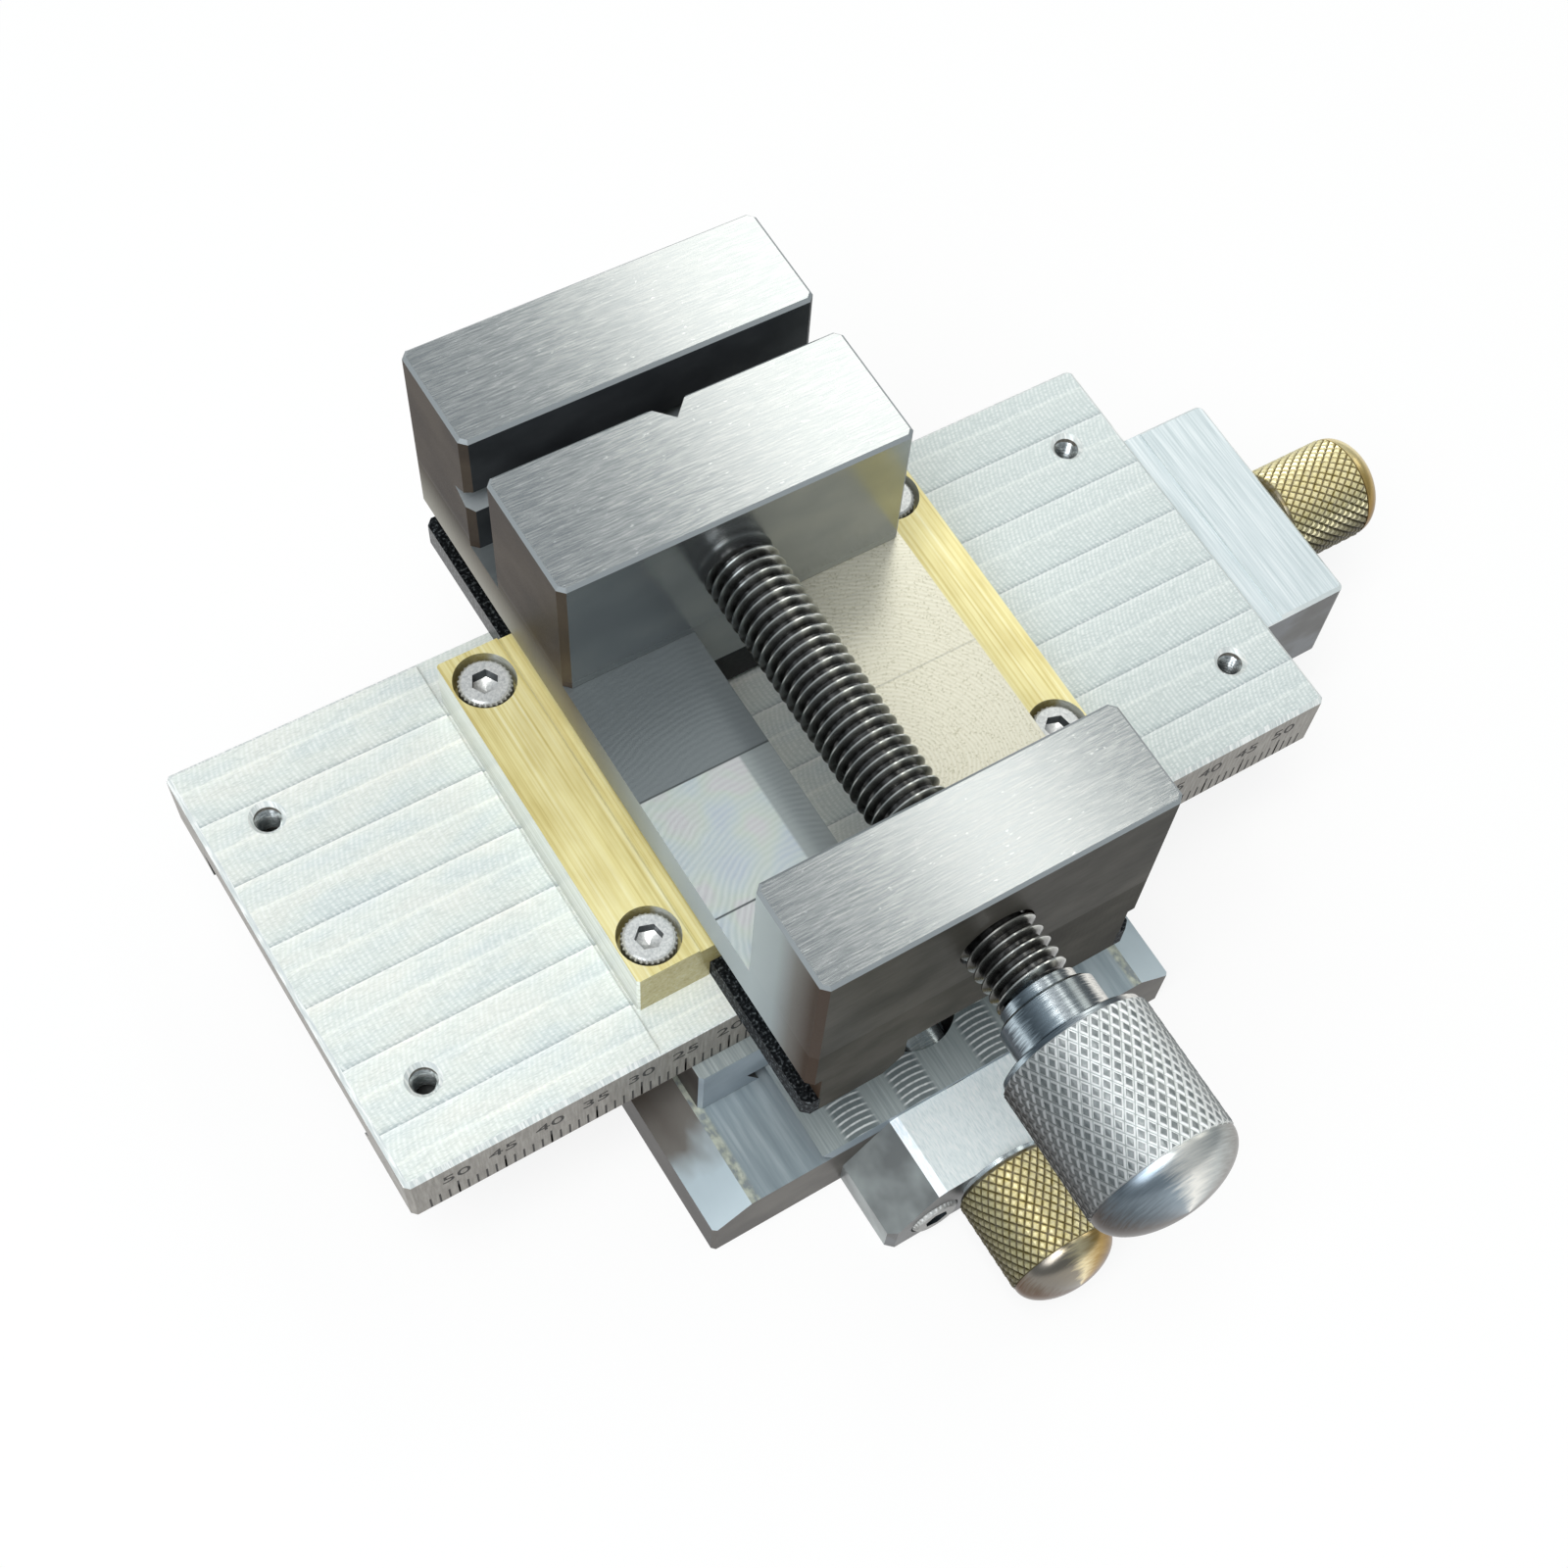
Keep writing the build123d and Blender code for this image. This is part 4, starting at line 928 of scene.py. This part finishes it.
# %% Domes
def dome_piece(name, radius, rise, foot):
    """Half of a flattened sphere that stands on the height of its foot."""
    start_piece()
    bpy.ops.mesh.primitive_uv_sphere_add(
        segments=96, ring_count=48, radius=MM, scale=(radius, radius, rise), location=(0, 0, foot * MM)
    )
    piece = bpy.context.object
    piece.name = name
    bpy.ops.object.transform_apply(location=True, rotation=True, scale=True)
    bpy.ops.object.mode_set(mode="EDIT")
    bpy.ops.mesh.select_all(action="SELECT")
    bpy.ops.mesh.bisect(
        plane_co=(0, 0, foot * MM), plane_no=(0, 0, 1), clear_inner=True, use_fill=True
    )
    bpy.ops.object.mode_set(mode="OBJECT")
    close_mesh(piece)
    bpy.ops.object.shade_smooth_by_angle(angle=math.radians(40))
    return piece


# %% [markdown]
# A thread is its section, carried round the axis and up by one pitch a turn. Blender's
# Screw modifier does just that with a short zigzag of points. The ends are then cut
# square with bisect.


# %% Threads
def wind_thread(name, section, start, pitch, turns, sides):
    """Winds a section of (radius, height) points up round Z from a start height."""
    start_piece()
    bpy.ops.mesh.primitive_plane_add(size=MM)
    piece = bpy.context.object
    piece.name = name
    bpy.ops.object.mode_set(mode="EDIT")
    bpy.ops.mesh.select_all(action="SELECT")
    bpy.ops.mesh.merge(type="CENTER")
    bpy.ops.transform.translate(value=(section[0][0] * MM, 0, start * MM))
    for (r0, z0), (r1, z1) in zip(section, section[1:]):
        move = ((r1 - r0) * MM, 0, (z1 - z0) * MM)
        bpy.ops.mesh.extrude_region_move(TRANSFORM_OT_translate={"value": move})
    bpy.ops.object.mode_set(mode="OBJECT")
    screw = piece.modifiers.new("thread", "SCREW")
    screw.axis = "Z"
    screw.steps = sides
    screw.render_steps = sides
    screw.screw_offset = pitch * MM
    screw.iterations = turns
    apply_modifiers(piece)
    return piece


def threaded_rod(name, radius, pitch, low, high, sides=40):
    """A rod along +Z with an outside thread of 60 degrees between two heights."""
    root = radius - THREAD_DEPTH
    section = [(root, 0.0), (root, pitch / 8), (radius, pitch * 0.44),
               (radius, pitch * 0.56), (root, pitch * 7 / 8), (root, pitch)]
    turns = math.ceil((high - low) / pitch) + 2
    rod = wind_thread(name, section, low - pitch, pitch, turns, sides)
    close_mesh(rod)
    bpy.ops.object.mode_set(mode="EDIT")
    for height, normal in ((low, 1), (high, -1)):
        bpy.ops.mesh.select_all(action="SELECT")
        bpy.ops.mesh.bisect(
            plane_co=(0, 0, height * MM), plane_no=(0, 0, normal), clear_inner=True, use_fill=True
        )
    bpy.ops.object.mode_set(mode="OBJECT")
    close_mesh(rod)
    bpy.ops.object.shade_smooth_by_angle(angle=math.radians(28))
    print(name, len(rod.data.polygons), "faces")
    return rod


# %% [markdown]
# The screw of the vise is cut from bar with an M8 thread. Its tip is turned down, with a
# groove for the two pins that hold it in the moving jaw. Both pieces start a hair in front
# of the jaw, so that no two faces lie in one plane.

# %% The vise screw
FACING_FRONT = (90, 0, 0)
FACING_BACK = (-90, 0, 0)
FACING_RIGHT = (0, 90, 0)
SHOULDER_LENGTH = 1.7
TIP_RADIUS, GROOVE_RADIUS = 3.0, 2.2
vise_axis = middle_of("vise_screw")[2]
jaw_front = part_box("moving_jaw")[0][1] / MM
screw_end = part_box("vise_screw")[1][1] / MM
knob_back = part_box("vise_knob")[1][1] / MM
thread_start = (0, jaw_front - 0.02, vise_axis)
thread_length = jaw_front - knob_back - SHOULDER_LENGTH
vise_thread = threaded_rod("vise_thread", THREAD_RADIUS, VISE_PITCH, 0, thread_length)
place_piece(vise_thread, thread_start, FACING_FRONT)
dress(vise_thread, "vise_screw", thread_steel)
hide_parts("vise_screw")
tip = turn_piece("vise_screw_tip", [
    (TIP_RADIUS, 0), (TIP_RADIUS, 2.0), (GROOVE_RADIUS, 2.6), (GROOVE_RADIUS, 4.6), (TIP_RADIUS, 5.2),
    (TIP_RADIUS, 8.0), (GROOVE_RADIUS, screw_end - jaw_front),
])
place_piece(tip, thread_start, FACING_BACK)
dress(tip, "vise_screw", turned_steel)

# %% [markdown]
# The knob of the vise is steel: a turned collar, a knurled grip and a polished dome. They
# are made along +Z from the collar's back, and then turned to face the front.

# %% The vise knob
COLLAR_RADIUS = 5.05
COLLAR_LENGTH = 4.1
GRIP_LENGTH = 14.7
DOME_RISE = 4.1
NECK_RADIUS = COLLAR_RADIUS - 0.25
SHOULDER_RADIUS = 3.98
GRIP_BEVEL = 0.7
DOME_STEP = 0.12
collar = turn_piece("vise_knob_collar", [
    (3.1, -SHOULDER_LENGTH - 0.1), (3.6, -SHOULDER_LENGTH + 0.3), (SHOULDER_RADIUS, -SHOULDER_LENGTH + 0.5),
    (SHOULDER_RADIUS, -0.05), (4.7, 0), (COLLAR_RADIUS, 0.3), (COLLAR_RADIUS, COLLAR_LENGTH - 0.5),
    (NECK_RADIUS, COLLAR_LENGTH - 0.3), (NECK_RADIUS, COLLAR_LENGTH), (6.9, COLLAR_LENGTH),
    (7.3, COLLAR_LENGTH + 0.2), (vise_root, COLLAR_LENGTH + GRIP_BEVEL), (vise_root, COLLAR_LENGTH + 1.0),
])
grip = knurl_sleeve("vise_knob_grip", GRIP_RADIUS, GRIP_LENGTH - GRIP_BEVEL, 42, 8, KNURL_DEPTH, 0.23)
dome = dome_piece("vise_knob_dome", GRIP_RADIUS - DOME_STEP, DOME_RISE, 0)
for piece, back, material in (
    (collar, 0, collar_steel),
    (grip, COLLAR_LENGTH + GRIP_BEVEL, knurled_steel),
    (dome, COLLAR_LENGTH + GRIP_LENGTH, polished_steel),
):
    place_piece(piece, (0, knob_back - back, vise_axis), FACING_FRONT)
    dress(piece, "vise_screw", material)
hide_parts("vise_knob")

# %% [markdown]
# The two knobs of the slides are twins. A bar is knurled, faced at its back and domed at
# its end, so one function makes all three parts along +Z, and each knob is turned to its
# own side. The grub screw that fixes it is hidden on the underside.

# %% The slide knobs
SLIDE_LENGTH = 11.0
SLIDE_RISE = 3.4
SLIDE_BEVEL = 0.4


def slide_knob_pieces(side):
    """Grip, back face and dome of a slide knob, along +Z from the XY plane."""
    length = SLIDE_LENGTH - SLIDE_BEVEL
    sleeve = knurl_sleeve(side + "_knob_grip", SLIDE_RADIUS, length, 34, 8, SLIDE_DEPTH, 0.24)
    place_piece(sleeve, (0, 0, SLIDE_BEVEL))
    back = turn_piece(side + "_knob_back", [
        (2.55, 0), (5.3, 0), (5.55, 0.15), (slide_root, 0.45), (slide_root, 0.8),
    ])
    end = dome_piece(side + "_knob_dome", SLIDE_RADIUS - DOME_STEP, SLIDE_RISE, SLIDE_LENGTH)
    return sleeve, back, end


knob_places = {
    "y": ((0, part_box("y_knob")[1][1] / MM, middle_of("y_knob")[2]), FACING_FRONT),
    "x": ((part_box("x_knob")[0][0] / MM, REST_Y, middle_of("x_knob")[2]), FACING_RIGHT),
}
for side, (at, turn) in knob_places.items():
    sleeve, back, end = slide_knob_pieces(side)
    knurled, polished = knurled_brass[side], polished_brass[side]
    for piece, material in ((sleeve, knurled), (back, knurled), (end, polished)):
        place_piece(piece, at, turn)
        dress(piece, side + "_screw", material)
    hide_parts(side + "_knob")
print("knobs at", knob_places)

# %% [markdown]
# The socket head cap screws are cold headed: a ribbed side for the fingers, a bevel round
# the top and a hexagon socket with a conical bottom. The body is turned. Every second pair
# of points round its side is drawn in, which leaves the ribs, and a hexagonal punch cuts
# the socket with a Boolean modifier. Three pairs are M3, and the pair in the right end
# block is M2.

# %% Cap screws
CAP = {"head": 2.75, "height": 3.0, "shank": 1.45, "socket": 2.5, "deep": 1.4}
SMALL_CAP = {"head": 1.9, "height": 2.0, "shank": 0.95, "socket": 1.5, "deep": 1.0}
RIB_DEPTH = 0.13
RIB_FOOT = 0.2
HEAD_SIDES = 120
FIRST_SPIN, NEXT_SPIN = 12, 19


def select_points(piece, wanted):
    """Selects the vertices that pass a test, for edit mode."""
    only(piece)
    bpy.ops.object.mode_set(mode="EDIT")
    bpy.ops.mesh.select_mode(type="VERT")
    bpy.ops.mesh.select_all(action="DESELECT")
    bpy.ops.object.mode_set(mode="OBJECT")
    for point in piece.data.vertices:
        point.select = wanted(point)
    bpy.ops.object.mode_set(mode="EDIT")


def draw_in_ribs(screw, size):
    """Draws every second pair of points of the side in to the foot of the ribs."""
    side = (size["head"] - 0.01) * MM

    def is_foot(point):
        step = round(math.degrees(math.atan2(point.co.y, point.co.x)) * HEAD_SIDES / 360)
        return point.co.xy.length > side and step % 4 < 2

    select_points(screw, is_foot)
    root = 1 - RIB_DEPTH / size["head"]
    bpy.ops.transform.resize(value=(root, root, 1), center_override=(0, 0, 0))
    bpy.ops.object.mode_set(mode="OBJECT")


def punch_socket(screw, size):
    """Cuts the hexagon and its conical bottom."""
    corner = size["socket"] / 2 / math.cos(math.radians(30))
    bottom = size["height"] - size["deep"]
    punch = turn_piece("hexagonal_punch", [
        (0.05, bottom - 0.35 * corner), (corner, bottom), (corner, size["height"] + 0.5),
    ], 6)
    cut = screw.modifiers.new("socket", "BOOLEAN")
    cut.operation = "DIFFERENCE"
    cut.solver = "EXACT"
    cut.object = punch
    apply_modifiers(screw)
    bpy.data.objects.remove(punch)
    for face in screw.data.polygons:
        in_socket = 0 < face.center.z < (size["height"] - 0.05) * MM
        if in_socket and face.center.xy.length < corner * MM and abs(face.normal.z) < 0.1:
            face.material_index = 1


def cap_screw_piece(name, length, size):
    """Head above the XY plane with its socket, shank below it."""
    side, height, shank = size["head"], size["height"], size["shank"]
    screw = turn_piece(name, [
        (shank - 0.3, -length), (shank, -length + 0.3), (shank, 0), (side - 0.15, 0), (side, RIB_FOOT),
        (side, height - 0.42), (side - 0.22, height - 0.16), (side - 0.42, height),
    ], HEAD_SIDES)
    draw_in_ribs(screw, size)
    punch_socket(screw, size)
    only(screw)
    bpy.ops.object.shade_smooth_by_angle(angle=math.radians(25))
    return screw


def place_screws(node, body, shank, turn, heads, size):
    """A copy of a cap screw at each seat, each spun by its own angle, replaces the node's."""
    pattern = cap_screw_piece(node + "_pattern", shank, size)
    for number, at in enumerate(heads):
        twin = copy_piece(pattern, node + "_" + str(number + 1))
        place_piece(twin, turn=(0, 0, FIRST_SPIN + NEXT_SPIN * number))
        place_piece(twin, at, turn)
        dress(twin, body, stainless)
        twin.data.materials.append(socket_shade)
        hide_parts(node)
    bpy.data.objects.remove(pattern)


def seats(node, axis, outwards, size):
    """Where each of the two screws of a node has the underside of its head, in millimetres."""
    low, high = ([v / MM for v in corner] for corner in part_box(node))
    middle = middle_of(node)
    far = high[axis] if outwards > 0 else low[axis]
    middle[axis] = far - outwards * size["height"]
    across = 1 if axis != 1 else 0
    half = (high[across] - low[across]) / 2 - size["head"]
    places = []
    for side in (-1, 1):
        place = list(middle)
        place[across] += side * half
        places.append(place)
    return places


UP = (0, 0, 0)
for node, body, axis, outwards, turn, size in (
    ("left_clamp_screws", "table", 2, 1, UP, CAP),
    ("right_clamp_screws", "table", 2, 1, UP, CAP),
    ("x_end_block_screws", "table", 0, 1, FACING_RIGHT, SMALL_CAP),
    ("y_bearing_screws", "base", 1, -1, FACING_FRONT, CAP),
):
    low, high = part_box(node)
    shank = (high[axis] - low[axis]) / MM - size["height"]
    heads = seats(node, axis, outwards, size)
    place_screws(node, body, shank, turn, heads, size)
    print(node, [[round(v, 2) for v in place] for place in heads])

# %% [markdown]
# The front edge of the table carries a millimetre scale, counted both ways from its
# middle. The lines and figures were rolled in and filled with black. One line of each
# length is made and repeated with an Array modifier. The figures are text, turned to mesh.

# %% Millimetre scale
LINE_WIDTH = 0.20
INLAY = 0.015
SCALE_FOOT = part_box("table")[0][2] / MM + 0.1
SCALE_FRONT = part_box("table")[0][1] / MM
ink = make_plain_metal("black filling", ("#1B1917", "#2E2A26"), 0.6, (3.0, 3.0, 3.0), 0.0, 0.0)


def scale_lines(name, height, spacing, count):
    """A row of equal lines that rise from the foot of the table's front edge."""
    start_piece()
    first = -spacing * (count - 1) / 2
    bpy.ops.mesh.primitive_cube_add(
        size=MM, scale=(LINE_WIDTH, 2 * INLAY, height),
        location=(first * MM, SCALE_FRONT * MM, (SCALE_FOOT + height / 2) * MM),
    )
    lines = bpy.context.object
    lines.name = name
    bpy.ops.object.transform_apply(location=True, rotation=True, scale=True)
    array = lines.modifiers.new("along the edge", "ARRAY")
    array.count = count
    array.use_relative_offset = False
    array.use_constant_offset = True
    array.constant_offset_displace = (spacing * MM, 0, 0)
    apply_modifiers(lines)
    dress(lines, "table", ink)
    return lines


scale_lines("scale_short_lines", 2.2, 1.0, 107)
scale_lines("scale_long_lines", 3.2, 5.0, 21)

# %% Figures of the scale
FIGURE_SIZE = 2.3
FIGURE_STRETCH = 1.4
FIGURE_HEIGHT = 22.4
figures = []
for step in range(-10, 11):
    start_piece()
    bpy.ops.object.text_add(location=(0, 0, 0))
    figure = bpy.context.object
    figure.data.body = str(abs(5 * step))
    figure.data.align_x = "CENTER"
    figure.data.align_y = "CENTER"
    figure.data.size = FIGURE_SIZE * MM
    figure.data.extrude = INLAY * MM
    figure.data.resolution_u = 3
    bpy.ops.object.convert(target="MESH")
    figure = bpy.context.object
    figure.scale = (FIGURE_STRETCH, 1, 1)
    place_piece(figure, (5.0 * step, SCALE_FRONT, FIGURE_HEIGHT), FACING_FRONT)
    figures.append(figure)
start_piece()
for figure in figures:
    figure.select_set(True)
bpy.context.view_layer.objects.active = figures[0]
bpy.ops.object.join()
figures = bpy.context.object
figures.name = "scale_figures"
dress(figures, "table", ink)
print("scale figures", len(figures.data.polygons), "faces")

# %% [markdown]
# Four tapped holes near the corners of the table take clamps and stops. Their thread is a
# coil of one small section, wound like the vise screw's and set in the drilled hole. It
# is the wall of a hole, so its faces are turned inwards, towards the axis.

# %% Threads of the tapped holes
TAPPED_RADIUS = 1.4
TAPPED_PITCH = 0.5
TAPPED_DEPTH = 4.6
TAPPED_BEVEL = 0.9
TAPPED_X = 48.4
TAPPED_Y = 16.1


def tapped_coil(name):
    """An inside thread down from the XY plane, in a hole of the tapped radius."""
    wall, crest = TAPPED_RADIUS + 0.02, TAPPED_RADIUS - 0.22
    section = [(wall, 0.0), (crest, 0.22), (crest, 0.28), (wall, TAPPED_PITCH)]
    turns = int((TAPPED_DEPTH - TAPPED_BEVEL) / TAPPED_PITCH)
    coil = wind_thread(name, section, -TAPPED_DEPTH, TAPPED_PITCH, turns, 28)
    close_mesh(coil, inside=True)
    bpy.ops.object.shade_smooth_by_angle(angle=math.radians(28))
    return coil


coil = tapped_coil("tapped_thread")
for number, (side, end) in enumerate(((-1, -1), (-1, 1), (1, -1), (1, 1))):
    twin = copy_piece(coil, "tapped_thread_" + str(number + 1))
    place_piece(twin, (side * TAPPED_X, REST_Y + end * TAPPED_Y, TABLE_TOP))
    dress(twin, "table", tapped_aluminium)
print("tapped thread", len(coil.data.polygons), "faces")
bpy.data.objects.remove(coil)

# %% [markdown]
# The camera stands where the picture was taken from: above the front left corner, close
# to the vise. Its place and aim come from the edges of the table, whose sizes are known.

# %% Camera
CAMERA_AT = (-69.726, -93.518, 229.342)
CAMERA_TURN = (23.786, -7.918, -33.525)
lens = bpy.data.cameras.new("camera")
lens.sensor_width = 36.0
lens.lens = 51.59
lens.shift_x = -0.137
lens.shift_y = 0.137
lens.clip_start = 0.01
camera = bpy.data.objects.new("camera", lens)
camera.location = Vector(CAMERA_AT) * MM
camera.rotation_euler = Euler([math.radians(a) for a in CAMERA_TURN])
bpy.context.collection.objects.link(camera)
bpy.context.scene.camera = camera

# %% [markdown]
# The floor is plain and pale. Seen by the camera, or mirrored in the metal, it is close to
# white, and it keeps a soft shadow of the vise.

# %% Floor
FLOOR_SIZE = 6.0
FLOOR_GLOW = 0.85
start_piece()
bpy.ops.mesh.primitive_grid_add(x_subdivisions=4, y_subdivisions=4, size=FLOOR_SIZE, location=(0, 0, 0))
floor = bpy.context.object
floor.name = "floor"
paper = bpy.data.materials.new("white paper")
paper.use_nodes = True
tree = paper.node_tree
matte = tree.nodes["Principled BSDF"]
matte.inputs["Base Color"].default_value = linear("#F2F2F0")
matte.inputs["Roughness"].default_value = 0.9
rays = add(tree, "LightPath")
seen = rays.outputs["Is Camera Ray"]
for ray in ("Is Glossy Ray", "Is Transmission Ray"):
    seen = add(tree, "Math", seen, rays.outputs[ray], operation="MAXIMUM")
glow = add(tree, "Emission", linear("#FFFFFF"), 1.0)
mixed = add(tree, "MixShader", product(tree, seen, FLOOR_GLOW), matte, glow)
feed(tree, mixed, tree.nodes["Material Output"].inputs["Surface"])
floor.data.materials.append(paper)

# %% [markdown]
# The ground tops act as mirrors. Their right halves show a wide softbox, and the front
# block shows a narrow one, which gives the band of light that crosses it. Three softer
# lamps, from the right, the left and above, light the rest evenly, and the world is a pale
# grey room. The power of a softbox is worked out from how bright its face should look.


# %% Light
POWER_OF_WHITE = 4.0


def softbox(name, at, aim, size, brightness, colour):
    """An area lamp whose face has the given brightness, 1 being white."""
    lamp = bpy.data.lights.new(name, "AREA")
    lamp.shape = "RECTANGLE"
    lamp.size = size[0]
    lamp.size_y = size[1]
    lamp.energy = POWER_OF_WHITE * size[0] * size[1] * brightness
    lamp.color = linear(colour)[:3]
    holder = bpy.data.objects.new(name, lamp)
    holder.location = at
    holder.rotation_euler = (Vector(aim) - Vector(at)).to_track_quat("-Z", "Y").to_euler()
    holder.visible_camera = False
    bpy.context.collection.objects.link(holder)


softbox("window_softbox", (0.298, 0.36, 0.42), (0.298, 0.3601, 0), (0.30, 0.34), 1.14, "#FFFEF8")
softbox("band_softbox", (0.155, 0.06, 0.42), (0.155, 0.0601, 0), (0.050, 0.26), 1.35, "#FFFEF8")
vise_middle = (0, 0, 0.03)
softbox("key_light", (1.10, 0.15, 0.85), vise_middle, (0.40, 0.40), 1.8, "#FFFCF2")
softbox("fill_light", (-0.60, -0.30, 0.85), vise_middle, (0.60, 0.60), 3.7, "#F6F9FF")
softbox("top_light", (-0.25, -0.15, 1.05), vise_middle, (0.50, 0.50), 5.6, "#FEFDFA")

# %% [markdown]
# The room behind the lamps is a plain pale grey, and colours are shown as they are written.

# %% Room
world = bpy.data.worlds.new("room")
bpy.context.scene.world = world
world.use_nodes = True
sky = world.node_tree.nodes["Background"]
sky.inputs["Color"].default_value = linear("#D8E0E6")
sky.inputs["Strength"].default_value = 0.42
bpy.context.scene.view_settings.view_transform = "Standard"
